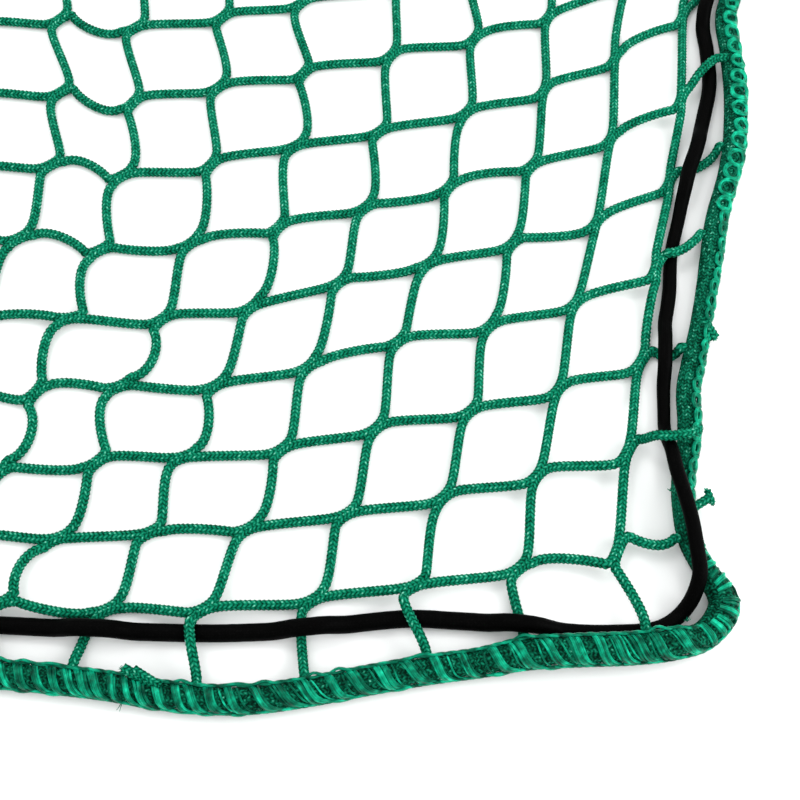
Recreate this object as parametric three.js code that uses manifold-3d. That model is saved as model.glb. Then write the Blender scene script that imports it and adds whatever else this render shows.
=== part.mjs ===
// Cover net of knotless twine, with a border rope sewn round its edge and an elastic cord threaded
// through its outer meshes. It lies loose on a flat surface, with its front right corner drawn in.
// Millimetres, +Z up, +X across, +Y away from the front edge.
import * as THREE from 'three';
import { mergeVertices } from 'three/addons/utils/BufferGeometryUtils.js';
import Module from 'manifold-3d';

// Net
const wales = 11; // junctions in a row across
const courses = 10; // rows of junctions from front to back
const twine = 3; // width and height of a bar
const crown = 0.52; // share of a bar's width that is flat on top and below
const hubCrown = 0.66; // the same of a junction
const hubLength = 9.4; // a junction along its lean, from crotch to crotch
const cornerHubLength = 11; // the same at the right edge, where the meshes are drawn out
const hubSide = 4; // its two straight sides, where two strands lie side by side
const hubWidth = 4.8;
const barPull = 5; // reach of the curve by which a bar leaves a junction
const strandTurn = 0.1; // how much a bar leaves a junction along its lean
const barRings = [0.2, 0.8]; // where a bar's shape is set between its junctions
const gap = 0.3; // between pieces that touch

// Outer bars. Every second one passes over the elastic cord, and lifts its junction
const hubRise = 3;
const overBarEase = 1; // such a bar stays level this far past the cord's edge
const overBarReach = 3; // and clears the cord this far to either side along it
const shortestStart = 0.7; // from a junction's port to the bar's first section
const underBarRoom = 1; // room that a low bar needs between the cord and the rope for a section

// Border rope and elastic cord
const lineSteps = 12; // samples between two points of a line in the tables
const ropeSpacing = 12; // between the rope's sections, and closer in a bend
const cordSpacing = 9.5;
const keyClearance = 0.36; // share of the spacing that stays free beside a section that is asked for
const closestSections = 1;
const searchReach = 3; // how far aside the rope's samples for a bar's end may lie
const searchDepth = 12; // and how far in from the outermost of them
const cordEase = 0.8; // the cord stays level this far past a bar's edge
const cordFall = 9; // from there down to the surface
const sides = 8; // of the rope's and the cord's section
const bendLimit = 0.12; // turn in radians that calls for closer sections
const barEndHeight = 2.6; // underside of a bar where it meets the rope
const barDrop = 4.5; // room that a bar needs between the cord and the rope to come down
const cordOverRope = { near: [84.5, -39.5], height: 8, flat: 17.5, fall: 14 }; // where it rides on the rope

// The frame's origin lies under the middle of the net, this far from the tables' own zero
const middle = { x: -60, y: 85 };

// One row for each course, from the front. right is the x of the wale at the right edge, step the
// mean way to the next wale, bow how far the row swells right and then left of that, and depth the
// y at wales 0, 2, 4, 6, 8 and 10
const courseTable = [
  { right: 63.8, step: 29.7, bow: 0, depth: [-49, -60, -66.5, -65, -61, -58] },
  { right: 69, step: 28.6, bow: 0.5, depth: [-19.5, -32.5, -43, -45, -43, -39] },
  { right: 75.2, step: 27.9, bow: 1.5, depth: [12, -5, -17, -21.5, -23, -19] },
  { right: 83, step: 28.1, bow: 1, depth: [45.5, 24, 10.5, 3, 3, 4] },
  { right: 89, step: 27.4, bow: 2.4, depth: [75, 53.5, 39.5, 26.5, 26, 28] },
  { right: 96, step: 27.2, bow: 1.7, depth: [107.5, 82.5, 67, 53.5, 55.5, 58] },
  { right: 101.6, step: 27.4, bow: 2.2, depth: [141, 113, 96, 83.5, 83, 86] },
  { right: 108, step: 28, bow: 2, depth: [173, 143, 127, 114, 112, 115] },
  { right: 112, step: 28.9, bow: 0.5, depth: [204, 173, 157, 143, 142, 145] },
  { right: 114, step: 29.1, bow: 0, depth: [233, 203, 187, 173, 172, 175] },
];

// The lean of the junctions of each wale from the right, in degrees from the X axis, at the fourth
// course
const leanTable = [64, 54, 44, 41, 38, 34, 33, 36, 30, 34, 36];
const leanByCourse = 3; // more for each course towards the back, between these two courses
const leanCourses = [3, 7];

// Junctions that lie off those rules: how far they are shifted, turned and lifted
const looseTable = [
  { wale: 0, course: 0, shift: [-0.3, -0.5], turn: 10, rise: 3.5 },
  { wale: 0, course: 1, shift: [-0.5, 0.6], turn: 3, rise: 3.5 },
  { wale: 0, course: 2, shift: [0, 0], turn: -4, rise: 0 },
  { wale: 0, course: 3, shift: [-1.4, -2.2], turn: 6, rise: 0 },
  { wale: 0, course: 4, shift: [0, 1.6], turn: 0, rise: 0 },
  { wale: 0, course: 5, shift: [-1.3, -0.4], turn: 0, rise: 0 },
  { wale: 0, course: 6, shift: [-2.8, 2.6], turn: -4, rise: 0 },
  { wale: 1, course: 0, shift: [0.7, -0.4], turn: -5, rise: 1.5 },
  { wale: 1, course: 1, shift: [0.5, -0.8], turn: 2, rise: 2 },
  { wale: 1, course: 2, shift: [0.6, -2.4], turn: 2, rise: 1.5 },
  { wale: 1, course: 3, shift: [0.3, -3.5], turn: -3, rise: 0 },
  { wale: 1, course: 4, shift: [1.1, -3.7], turn: 2, rise: 0 },
  { wale: 1, course: 5, shift: [0.8, -2.8], turn: 0, rise: 0 },
  { wale: 1, course: 6, shift: [-1.5, -2.4], turn: 5, rise: 0 },
  { wale: 1, course: 7, shift: [-1.2, 0], turn: 0, rise: 0 },
  { wale: 2, course: 0, shift: [0, 0], turn: -7, rise: 0 },
  { wale: 2, course: 1, shift: [0.9, 0], turn: 5, rise: 0.8 },
  { wale: 2, course: 2, shift: [0.8, 0.2], turn: 0, rise: 0 },
  { wale: 2, course: 3, shift: [0.6, 0], turn: 0, rise: 0 },
  { wale: 2, course: 5, shift: [0.6, 0.2], turn: -5, rise: 0 },
  { wale: 2, course: 6, shift: [0.3, -0.3], turn: 9, rise: 0 },
  { wale: 2, course: 7, shift: [-2, 0], turn: 0, rise: 0 },
  { wale: 3, course: 0, shift: [0.3, 0.6], turn: 0, rise: 0 },
  { wale: 3, course: 1, shift: [0.5, 0.8], turn: -3, rise: 0 },
  { wale: 3, course: 2, shift: [0, 1.5], turn: 5, rise: 0 },
  { wale: 3, course: 3, shift: [0, 2.4], turn: 0, rise: 0 },
  { wale: 3, course: 4, shift: [0.2, 0.2], turn: -7, rise: 0 },
  { wale: 3, course: 5, shift: [0.3, 0.6], turn: 4, rise: 0 },
  { wale: 3, course: 6, shift: [1, 0], turn: -4, rise: 0 },
  { wale: 4, course: 0, shift: [-1.2, -0.4], turn: 0, rise: 0 },
  { wale: 4, course: 1, shift: [0.3, 0.9], turn: -3, rise: 0 },
  { wale: 4, course: 2, shift: [0, 0], turn: 3, rise: 0 },
  { wale: 4, course: 3, shift: [0.5, -0.3], turn: 4, rise: 0 },
  { wale: 4, course: 5, shift: [0.4, -0.3], turn: -4, rise: 0 },
  { wale: 4, course: 6, shift: [0, 0], turn: -7, rise: 0 },
  { wale: 4, course: 8, shift: [4, 0], turn: 0, rise: 0 },
  { wale: 5, course: 1, shift: [0, 1.5], turn: -3, rise: 0 },
  { wale: 5, course: 2, shift: [-1, 0.3], turn: -11, rise: 0 },
  { wale: 5, course: 3, shift: [0.9, -2], turn: 0, rise: 0 },
  { wale: 5, course: 4, shift: [1, -1.5], turn: 2, rise: 0 },
  { wale: 5, course: 5, shift: [0.8, 0.5], turn: 9, rise: 0 },
  { wale: 5, course: 6, shift: [0.5, 1.5], turn: -10, rise: 0 },
  { wale: 5, course: 7, shift: [-0.7, 0], turn: 6, rise: 0 },
  { wale: 5, course: 8, shift: [-2, 0], turn: 0, rise: 0 },
  { wale: 6, course: 1, shift: [2, 0], turn: -7, rise: 0 },
  { wale: 6, course: 2, shift: [1.8, 0.4], turn: 10, rise: 0 },
  { wale: 6, course: 3, shift: [-0.5, 0.5], turn: -9, rise: 0 },
  { wale: 6, course: 4, shift: [1.9, 0], turn: 3, rise: 0 },
  { wale: 6, course: 5, shift: [0.6, 0], turn: 0, rise: 0 },
  { wale: 6, course: 6, shift: [1.6, -0.3], turn: 10, rise: 0 },
  { wale: 6, course: 7, shift: [-0.5, -0.3], turn: -3, rise: 0 },
  { wale: 7, course: 2, shift: [1, -2], turn: 11, rise: 0 },
  { wale: 7, course: 3, shift: [2.4, -1], turn: 13, rise: 0 },
  { wale: 7, course: 4, shift: [1.6, 1], turn: -25, rise: 1.2 },
  { wale: 7, course: 5, shift: [-0.6, -2.4], turn: -12, rise: 0 },
  { wale: 7, course: 6, shift: [0.7, -3.4], turn: -12, rise: 0 },
  { wale: 7, course: 7, shift: [-0.2, -4.2], turn: 3, rise: 0 },
  { wale: 7, course: 8, shift: [-1, -3], turn: -14, rise: 0 },
  { wale: 8, course: 5, shift: [0, 0], turn: -6, rise: 0 },
  { wale: 8, course: 6, shift: [4, 0], turn: -5, rise: 0 },
  { wale: 8, course: 7, shift: [2.7, -0.3], turn: -4, rise: 0 },
  { wale: 8, course: 8, shift: [1.2, 0], turn: 0, rise: 0 },
  { wale: 9, course: 6, shift: [0, -3.5], turn: 0, rise: 0 },
  { wale: 9, course: 7, shift: [0, -4], turn: 0, rise: 0 },
  { wale: 9, course: 8, shift: [0, -4.5], turn: 0, rise: 0 },
];

// Slack bars that bulge to their left, or with a minus sign to their right, seen from the junction
// that is named: a bar goes from it to the next wale, back to the next course or out to the rope
const slackTable = [
  { from: [0, 0], to: 'right', bulge: -2.4 },
  { from: [1, 0], to: 'right', bulge: 1.6 },
  { from: [5, 0], to: 'right', bulge: 0.4 },
  { from: [6, 0], to: 'right', bulge: -1.3 },
  { from: [0, 1], to: 'right', bulge: -2.6 },
  { from: [5, 1], to: 'right', bulge: 0.8 },
  { from: [0, 2], to: 'right', bulge: -2.8 },
  { from: [7, 2], to: 'right', bulge: -0.9 },
  { from: [0, 3], to: 'right', bulge: -3.2 },
  { from: [1, 3], to: 'right', bulge: 0.4 },
  { from: [4, 3], to: 'right', bulge: 0.8 },
  { from: [6, 3], to: 'right', bulge: -0.6 },
  { from: [7, 3], to: 'right', bulge: 0.9 },
  { from: [0, 4], to: 'right', bulge: -3.4 },
  { from: [1, 4], to: 'right', bulge: 0.6 },
  { from: [2, 4], to: 'right', bulge: -0.9 },
  { from: [4, 4], to: 'right', bulge: -1 },
  { from: [8, 4], to: 'right', bulge: 0.9 },
  { from: [1, 5], to: 'right', bulge: 1.1 },
  { from: [3, 5], to: 'right', bulge: 0.9 },
  { from: [4, 5], to: 'right', bulge: -0.9 },
  { from: [6, 5], to: 'right', bulge: 1.2 },
  { from: [7, 5], to: 'right', bulge: -1 },
  { from: [8, 5], to: 'right', bulge: 2.6 },
  { from: [1, 6], to: 'right', bulge: 1.5 },
  { from: [8, 6], to: 'right', bulge: 2.4 },
  { from: [3, 7], to: 'right', bulge: 0.8 },
  { from: [6, 7], to: 'right', bulge: 0.3 },
  { from: [8, 7], to: 'right', bulge: -3 },
  { from: [8, 8], to: 'right', bulge: -3.4 },
  { from: [2, 0], to: 'back', bulge: 0.7 },
  { from: [3, 0], to: 'back', bulge: -0.5 },
  { from: [5, 0], to: 'back', bulge: -0.6 },
  { from: [6, 0], to: 'back', bulge: 2.9 },
  { from: [4, 1], to: 'back', bulge: -1.2 },
  { from: [5, 1], to: 'back', bulge: 0.6 },
  { from: [6, 1], to: 'back', bulge: -1.1 },
  { from: [0, 2], to: 'back', bulge: 0.8 },
  { from: [2, 2], to: 'back', bulge: 0.4 },
  { from: [5, 2], to: 'back', bulge: -2.2 },
  { from: [6, 2], to: 'back', bulge: 1.8 },
  { from: [7, 2], to: 'back', bulge: -4 },
  { from: [2, 3], to: 'back', bulge: -0.9 },
  { from: [3, 3], to: 'back', bulge: 0.5 },
  { from: [4, 3], to: 'back', bulge: -0.9 },
  { from: [5, 3], to: 'back', bulge: -0.5 },
  { from: [6, 3], to: 'back', bulge: -3.8 },
  { from: [7, 3], to: 'back', bulge: 1.8 },
  { from: [2, 4], to: 'back', bulge: -0.6 },
  { from: [3, 4], to: 'back', bulge: -0.8 },
  { from: [5, 4], to: 'back', bulge: -2 },
  { from: [7, 4], to: 'back', bulge: 2.2 },
  { from: [8, 4], to: 'back', bulge: 1.5 },
  { from: [3, 5], to: 'back', bulge: 0.8 },
  { from: [4, 5], to: 'back', bulge: -1 },
  { from: [5, 5], to: 'back', bulge: 0.6 },
  { from: [6, 5], to: 'back', bulge: -1.4 },
  { from: [7, 5], to: 'back', bulge: 1.6 },
  { from: [8, 5], to: 'back', bulge: -0.7 },
  { from: [1, 6], to: 'back', bulge: 0.6 },
  { from: [4, 6], to: 'back', bulge: 0.4 },
  { from: [5, 6], to: 'back', bulge: -1.5 },
  { from: [7, 6], to: 'back', bulge: -1.5 },
  { from: [8, 6], to: 'back', bulge: 0.5 },
  { from: [5, 7], to: 'back', bulge: 0.6 },
  { from: [6, 7], to: 'back', bulge: -0.8 },
  { from: [0, 0], to: 'front', bulge: 1 },
  { from: [1, 0], to: 'front', bulge: 0.5 },
];

// How far along the edge each outer bar's end lies from its junction, towards +X or +Y
const frontSlides = [7, 1, 3.6, -0.8, -1.1, -7, -2, 1, 2, 0, -3];
const rightSlides = [4.7, 5.2, 2.6, 11.3, 11, 15, 9.4, 9, 6, 3];
const backSlides = [-4, 2, -2, 1, -1, 2, 0, -2, 1, 0, 3];
const leftSlides = [3, 1, -2, 2, 0, 1, -1, 2, 0, -2];
const ridingBar = { course: 1, reach: 6.2, height: 8.8 }; // a right bar that ends on top of the rope

// Middle line of the border rope, with its width there, anticlockwise from the front left corner
const ropeTable = [
  { side: 'front', line: [[-236, -82], [-205, -84], [-172, -83], [-142, -83], [-113, -85]], width: 8.6 },
  { side: 'front', line: [[-84, -88], [-69, -90.5], [-55, -92], [-41, -92], [-26, -90]], width: 8.8 },
  { side: 'front', line: [[-10, -87], [7, -84], [22, -82]], width: 8.8 },
  { side: 'front', line: [[36, -79.8], [51, -78.9], [65, -78.4], [77, -77]], width: 9.8, rise: 2.6 },
  { side: 'front', line: [[87, -73.5]], width: 9.4 },
  { side: 'corner', line: [[92.7, -65.1]], width: 10.3 },
  { side: 'right', line: [[88.3, -55.2]], width: 8.2 },
  { side: 'right', line: [[84.4, -46], [83.5, -35], [84.2, -26], [86.2, -18]], width: 7.8 },
  { side: 'right', line: [[87.4, -9], [87.8, 1], [90, 10]], width: 8.2 },
  { side: 'right', line: [[93.3, 22], [96.4, 35]], width: 7.6 },
  { side: 'right', line: [[99.2, 48], [102.3, 62], [107, 76]], width: 8.2 },
  { side: 'right', line: [[110.2, 88], [112, 101], [112.9, 113]], width: 8.8 },
  { side: 'right', line: [[112.7, 127], [112.6, 142]], width: 8.2 },
  { side: 'right', line: [[119, 160], [124.4, 180], [130, 200], [134, 220], [136, 238]], width: 8.6 },
  { side: 'corner', line: [[133, 254], [120, 262], [104, 259]], width: 8.6 },
  { side: 'back', line: [[80, 247], [54, 233], [27, 223], [-2, 214], [-32, 206], [-60, 200]], width: 8.6 },
  { side: 'back', line: [[-90, 198], [-120, 199], [-148, 201], [-174, 203]], width: 8.6 },
  { side: 'corner', line: [[-192, 201], [-203, 190], [-204, 174]], width: 8.6 },
  { side: 'left', line: [[-202, 150], [-198, 120], [-197, 92], [-202, 64], [-210, 36]], width: 8.6 },
  { side: 'left', line: [[-219, 8], [-228.5, -17], [-241, -38], [-251, -56]], width: 8.6 },
  { side: 'corner', line: [[-256, -70], [-250.5, -79]], width: 8.6 },
];
const ropeHeight = 0.93; // share of its width

// Middle line of the elastic cord, with its diameter: it is drawn thinner up the right side
const cordTable = [
  { line: [[-226, -70], [-200, -71.5], [-172, -71], [-143, -70], [-115, -71], [-86, -72.5]], across: 5.2 },
  { line: [[-60, -73.3], [-45, -73.2], [-27, -72.2], [0, -69.3], [15, -69.7], [33, -71]], across: 5.2 },
  { line: [[49, -72.7], [62, -73], [74.3, -71.8], [82.2, -66.4], [85.6, -58.6]], across: 4.5 },
  { line: [[85.5, -50], [84.8, -42], [83.3, -34], [81.3, -25]], across: 4.3 },
  { line: [[80.4, -15], [80.9, -4]], across: 4 },
  { line: [[81.7, 9], [82.9, 22], [85.5, 35]], across: 4.5 },
  { line: [[87.2, 49], [90.9, 63]], across: 4.3 },
  { line: [[94.3, 77], [98.3, 88], [102.4, 102], [105.2, 114], [105.5, 128], [105.2, 142]], across: 4.9 },
  { line: [[110.7, 158]], across: 4.5 },
  { line: [[114, 178], [119, 198], [123, 218], [124, 236]], across: 4.8 },
  { line: [[120, 248], [110, 250]], across: 4.6 },
  { line: [[84, 237], [57, 223], [28, 212], [-2, 203], [-33, 195], [-61, 189]], across: 5 },
  { line: [[-91, 187], [-120, 188], [-148, 190], [-172, 192]], across: 5 },
  { line: [[-186, 190], [-193, 181]], across: 5 },
  { line: [[-193, 172], [-191, 150], [-187, 120], [-186, 92], [-191, 66], [-199, 38]], across: 5 },
  { line: [[-208, 10], [-217.5, -13], [-230, -34], [-239.5, -50]], across: 5 },
  { line: [[-242.5, -60], [-238, -68]], across: 5.2 },
];

// Cut twine ends that stand out of the rope: where each starts in it and where it ends
const stubTable = [
  { from: [-68.6, -88.5, 5], to: [-76.6, -84.5, 7.4], width: 3 },
  { from: [-66.6, -89, 5.5], to: [-73.6, -85, 8.4], width: 2.6 },
  { from: [94.5, 24, 4], to: [98.4, 18.5, 3.6], width: 3 },
  { from: [86, -37, 3.5], to: [92, -33.5, 4.8], width: 2.8 },
  { from: [91.1, -31.2, 4.8], to: [92.5, -35, 4.4], width: 2.2 },
];

const netColour = 0x0b7f5c;
const ropeColour = 0x0a6f52;
const cordColour = 0x0b0b0c;

// Points, vectors and smooth lines in the plane
const add = (a, b, k = 1) => [a[0] + b[0] * k, a[1] + b[1] * k];
const middleOf = (a, b) => [(a[0] + b[0]) / 2, (a[1] + b[1]) / 2];
const distance = (a, b) => Math.hypot(b[0] - a[0], b[1] - a[1]);
const unit = (a) => [a[0] / Math.hypot(...a), a[1] / Math.hypot(...a)];
const leftOf = (a) => [-a[1], a[0]];

// Smooth value between four even steps
function between(before, from, to, after, t) {
  const pull = (to - before) / 2;
  const push = (after - from) / 2;
  const rest = to - from;
  return from + t * (pull + t * (3 * rest - 2 * pull - push + t * (pull + push - 2 * rest)));
}

// Depth of a course at any wale, from its row's values at every second wale
function courseDepth(course, wale) {
  const values = courseTable[course].depth;
  const place = wale / 2;
  const index = Math.min(Math.floor(place), values.length - 2);
  const at = (i) => values[Math.min(Math.max(i, 0), values.length - 1)];
  return between(at(index - 1), at(index), at(index + 1), at(index + 2), place - index);
}

// An eased step from 1 to 0
const fade = (x) => 1 - THREE.MathUtils.smoothstep(x, 0, 1);

const loose = (wale, course) => looseTable.find((row) => row.wale === wale && row.course === course);

function bulgeOf(wale, course, to) {
  const row = slackTable.find(({ from, to: side }) => from[0] === wale && from[1] === course && side === to);
  return row?.bulge ?? 0;
}

function junctionAt(wale, course) {
  const row = courseTable[course];
  const off = loose(wale, course)?.shift ?? [0, 0];
  const swell = row.bow * Math.sin(2 * Math.PI * wale / (wales - 1));
  const x = row.right - row.step * wale + swell + off[0];
  const y = courseDepth(course, wale) + off[1];
  return [x - middle.x, y - middle.y];
}

function leanAt(wale, course) {
  const [first, last] = leanCourses;
  const more = leanByCourse * (Math.min(course, last) - first);
  const degrees = leanTable[wale] + more + (loose(wale, course)?.turn ?? 0);
  return THREE.MathUtils.degToRad(degrees);
}

// Sine of the angle between two headings
const slantOf = (a, b) => Math.abs(a[0] * b[1] - a[1] * b[0]);

// A smooth closed line through the rows of a table, sampled finely, with its width and its length
// so far at each sample
function closedLine(table, widthName) {
  const nodes = table.flatMap((row) => row.line.map(([x, y]) =>
    [x - middle.x, y - middle.y, row[widthName], row.rise ?? 0, row.side]));
  const count = nodes.length;
  const samples = [];
  let length = 0;
  for (let i = 0; i < count; i++) {
    const near = [-1, 0, 1, 2].map((k) => nodes[(i + k + count) % count]);
    for (let j = 0; j < lineSteps; j++) {
      const blend = (k) => between(...near.map((node) => node[k]), j / lineSteps);
      const [x, y, width, rise] = [0, 1, 2, 3].map(blend);
      const last = samples.at(-1);
      length += last ? distance(last.at, [x, y]) : 0;
      samples.push({ at: [x, y], width, rise: Math.max(rise, 0), side: nodes[i][4], along: length });
    }
  }
  samples.total = length + distance(samples.at(-1).at, samples[0].at);
  return samples;
}

// The line's place, direction and width at a length along it
function lineAt(line, along) {
  const s = ((along % line.total) + line.total) % line.total;
  let i = line.findIndex((sample) => sample.along > s);
  i = i < 0 ? line.length - 1 : i - 1;
  const from = line[i];
  const to = line[(i + 1) % line.length];
  const span = (i + 1 < line.length ? to.along : line.total) - from.along;
  const t = (s - from.along) / span;
  const before = line[(i - 1 + line.length) % line.length];
  const after = line[(i + 2) % line.length];
  const heading = unit(add(add(to.at, from.at, -1), add(after.at, before.at, -1), 0.5));
  const blend = (name) => from[name] + (to[name] - from[name]) * t;
  const at = add(from.at, add(to.at, from.at, -1), t);
  return { at, width: blend('width'), rise: blend('rise'), heading };
}

// Where the stretch from a to b crosses a closed line: its length along the line, or nothing
function crossingOf(a, b, line) {
  for (let i = 0; i < line.length; i++) {
    const p = line[i].at;
    const q = line[(i + 1) % line.length].at;
    const u = add(b, a, -1);
    const v = add(q, p, -1);
    const w = add(p, a, -1);
    const cross = u[0] * v[1] - u[1] * v[0];
    const onBar = (w[0] * v[1] - w[1] * v[0]) / cross;
    const onLine = (w[0] * u[1] - w[1] * u[0]) / cross;
    if (onBar >= 0 && onBar <= 1 && onLine >= 0 && onLine < 1) {
      return { share: onBar, along: line[i].along + onLine * distance(p, q) };
    }
  }
  return null;
}

// The middle line's point of one side of the rope at a given x or y
function ropePoint(side, axis, value) {
  const outward = { front: [0, -1], back: [0, 1], left: [-1, 0], right: [1, 0] }[side];
  const inset = ({ at }) => -(at[0] * outward[0] + at[1] * outward[1]);
  const choices = rope.filter((sample) => sample.side === side || sample.side === 'corner');
  const near = choices.filter((sample) => Math.abs(sample.at[axis] - value) < searchReach);
  const outermost = Math.min(...near.map(inset));
  const outer = near.filter((sample) => inset(sample) < outermost + searchDepth);
  const apart = (sample) => Math.abs(sample.at[axis] - value);
  return outer.reduce((best, sample) => (apart(sample) < apart(best) ? sample : best));
}

// A skin collects points and triangles. Rings run anticlockwise about the way they are joined in
const newSkin = () => ({ points: [], faces: [] });

function addPoint(skin, x, y, z) {
  skin.points.push(x, y, z);
  return skin.points.length / 3 - 1;
}

function joinRings(skin, from, to) {
  from.forEach((corner, i) => {
    const next = (i + 1) % from.length;
    skin.faces.push(corner, from[next], to[i], from[next], to[next], to[i]);
  });
}

function closeRing(skin, ring, atStart) {
  for (let i = 1; i < ring.length - 1; i++) {
    skin.faces.push(ring[0], ...(atStart ? [ring[i + 1], ring[i]] : [ring[i], ring[i + 1]]));
  }
}

function skinGeometry(skin) {
  const geometry = new THREE.BufferGeometry();
  geometry.setAttribute('position', new THREE.Float32BufferAttribute(skin.points, 3));
  geometry.setIndex(skin.faces);
  geometry.computeVertexNormals();
  return geometry;
}

// Six-sided section of a bar: its left side, top and right side, seen along its heading
function barRing(skin, at, heading, z) {
  const left = leftOf(unit(heading));
  const edge = (side, share, up) => addPoint(skin, ...add(at, left, side * share * twine / 2), z + up);
  return [
    edge(1, 1, twine / 2), edge(1, crown, twine), edge(-1, crown, twine),
    edge(-1, 1, twine / 2), edge(-1, crown, 0), edge(1, crown, 0),
  ];
}

// A junction is a long hexagon: two strands side by side, with a port at each end of either one
function addJunction(skin, wale, course) {
  const at = junctionAt(wale, course);
  const lean = leanAt(wale, course);
  const ahead = [Math.cos(lean), Math.sin(lean)];
  const rise = riseAt(wale, course);
  const half = (wale === 0 ? cornerHubLength : hubLength) / 2;
  const corner = (along, across) => {
    const aside = across * hubWidth / 2;
    const offset = (share) => add(add(at, ahead, along * share), leftOf(ahead), aside * share);
    const tip = offset(1);
    const inset = offset(hubCrown);
    return {
      tip,
      mid: addPoint(skin, ...tip, rise + twine / 2),
      top: addPoint(skin, ...inset, rise + twine),
      low: addPoint(skin, ...inset, rise),
    };
  };
  const near = corner(-half, 0);
  const nearUnder = corner(-hubSide / 2, -1);
  const farUnder = corner(hubSide / 2, -1);
  const far = corner(half, 0);
  const farOver = corner(hubSide / 2, 1);
  const nearOver = corner(-hubSide / 2, 1);
  const round = [near, nearUnder, farUnder, far, farOver, nearOver];
  closeRing(skin, round.map((place) => place.top), false);
  closeRing(skin, round.map((place) => place.low), true);
  for (const [from, to] of [[nearUnder, farUnder], [farOver, nearOver]]) {
    skin.faces.push(from.low, to.low, to.mid, from.low, to.mid, from.mid);
    skin.faces.push(from.mid, to.mid, to.top, from.mid, to.top, from.top);
  }
  const port = (left, right, along) => {
    const outward = leftOf(unit(add(left.tip, right.tip, -1))).map((value) => -value);
    return {
      ring: [left.mid, left.top, right.top, right.mid, right.low, left.low],
      at: middleOf(left.tip, right.tip),
      heading: unit(add(outward, ahead, along)),
      rise,
    };
  };
  return {
    right: port(far, farUnder, strandTurn),
    back: port(farOver, far, strandTurn),
    left: port(near, nearOver, -strandTurn),
    front: port(nearUnder, near, -strandTurn),
  };
}

// A ring turned round for a bar that arrives at its port
const arriving = (ring) => [ring[3], ring[2], ring[1], ring[0], ring[5], ring[4]];

// A bar between two ports, on a smooth curve that leaves both along their headings. A cubic's inner
// points lie 4/3 as far aside as its middle
function addBar(skin, from, to, bulge) {
  const a = from.at;
  const d = to.at;
  const pull = Math.min(barPull, distance(a, d) / 3);
  const aside = leftOf(unit(add(d, a, -1)));
  const b = add(add(a, from.heading, pull), aside, bulge * 4 / 3);
  const c = add(add(d, to.heading, pull), aside, bulge * 4 / 3);
  const curve = new THREE.CubicBezierCurve(...[a, b, c, d].map((p) => new THREE.Vector2(...p)));
  let last = from.ring;
  for (const t of barRings) {
    const at = curve.getPoint(t).toArray();
    const ring = barRing(skin, at, curve.getTangent(t).toArray(), from.rise + (to.rise - from.rise) * t);
    joinRings(skin, last, ring);
    last = ring;
  }
  joinRings(skin, last, arriving(to.ring));
}

// A bar from an outer junction to the rope, over or under the cord on its way
function addOuterBar(skin, port, end, over, crossing, bulge) {
  const start = port.at;
  const heading = unit(add(end.at, start, -1));
  const length = distance(start, end.at);
  const stations = [];
  let endHeight = end.height;
  if (crossing) {
    const { width, heading: cordHeading } = lineAt(cord, crossing.along);
    const clear = (width / 2 + overBarEase) / slantOf(heading, cordHeading);
    const under = [-1, 0, 1].map((way) => cordUnderside(crossing.along + way * overBarReach));
    const height = over ? Math.max(...under) + width + gap : 0;
    const beyond = crossing.share * length + clear;
    stations.push([Math.max(crossing.share * length - clear, shortestStart), height]);
    const room = length - beyond;
    if (room > (over ? barDrop : underBarRoom)) stations.push([beyond, height]);
    else endHeight = over ? Math.max(height, endHeight) : 0;
  } else {
    stations.push([length / 2, (port.rise + endHeight) / 2]);
  }
  if (end.riding) stations.push([length - ridingBar.reach, ridingBar.height]);
  let last = port.ring;
  for (const [along, height] of stations) {
    const aside = bulge * Math.sin(Math.PI * along / length);
    const at = add(add(start, heading, along), leftOf(heading), aside);
    const ring = barRing(skin, at, heading, height);
    joinRings(skin, last, ring);
    last = ring;
  }
  const endRing = barRing(skin, end.at, end.facing, endHeight);
  joinRings(skin, last, endRing);
  closeRing(skin, endRing, false);
}

const rope = closedLine(ropeTable, 'width');
const cord = closedLine(cordTable, 'across');

// The outer bars, anticlockwise from the right bar of the front right junction: each has its
// junction, its side and where it ends at the rope
function outerBars() {
  const bars = [];
  const addSide = (side, wale, course, slide) => {
    const axis = side === 'front' || side === 'back' ? 0 : 1;
    const { at, width, along } = ropePoint(side, axis, junctionAt(wale, course)[axis] + slide);
    const inward = leftOf(lineAt(rope, along).heading);
    const riding = side === 'right' && course === ridingBar.course;
    const end = {
      at: add(at, inward, width / 2 + gap - (riding ? ridingBar.reach : 0)),
      facing: inward.map((value) => -value),
      height: riding ? ridingBar.height : barEndHeight,
      along,
      riding,
    };
    bars.push({ side, wale, course, end });
  };
  for (let course = 0; course < courses; course++) addSide('right', 0, course, rightSlides[course]);
  for (let wale = 0; wale < wales; wale++) addSide('back', wale, courses - 1, backSlides[wale]);
  for (let course = courses - 1; course >= 0; course--) {
    addSide('left', wales - 1, course, leftSlides[course]);
  }
  for (let wale = wales - 1; wale >= 0; wale--) addSide('front', wale, 0, frontSlides[wale]);
  return bars.map((bar, i) => ({ ...bar, over: i % 2 === 1 }));
}

const edgeBars = outerBars();

// How far a junction is lifted off the surface
function riseAt(wale, course) {
  const lifted = edgeBars.some((bar) => bar.over && bar.wale === wale && bar.course === course);
  return Math.max(lifted ? hubRise : 0, loose(wale, course)?.rise ?? 0);
}

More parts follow.
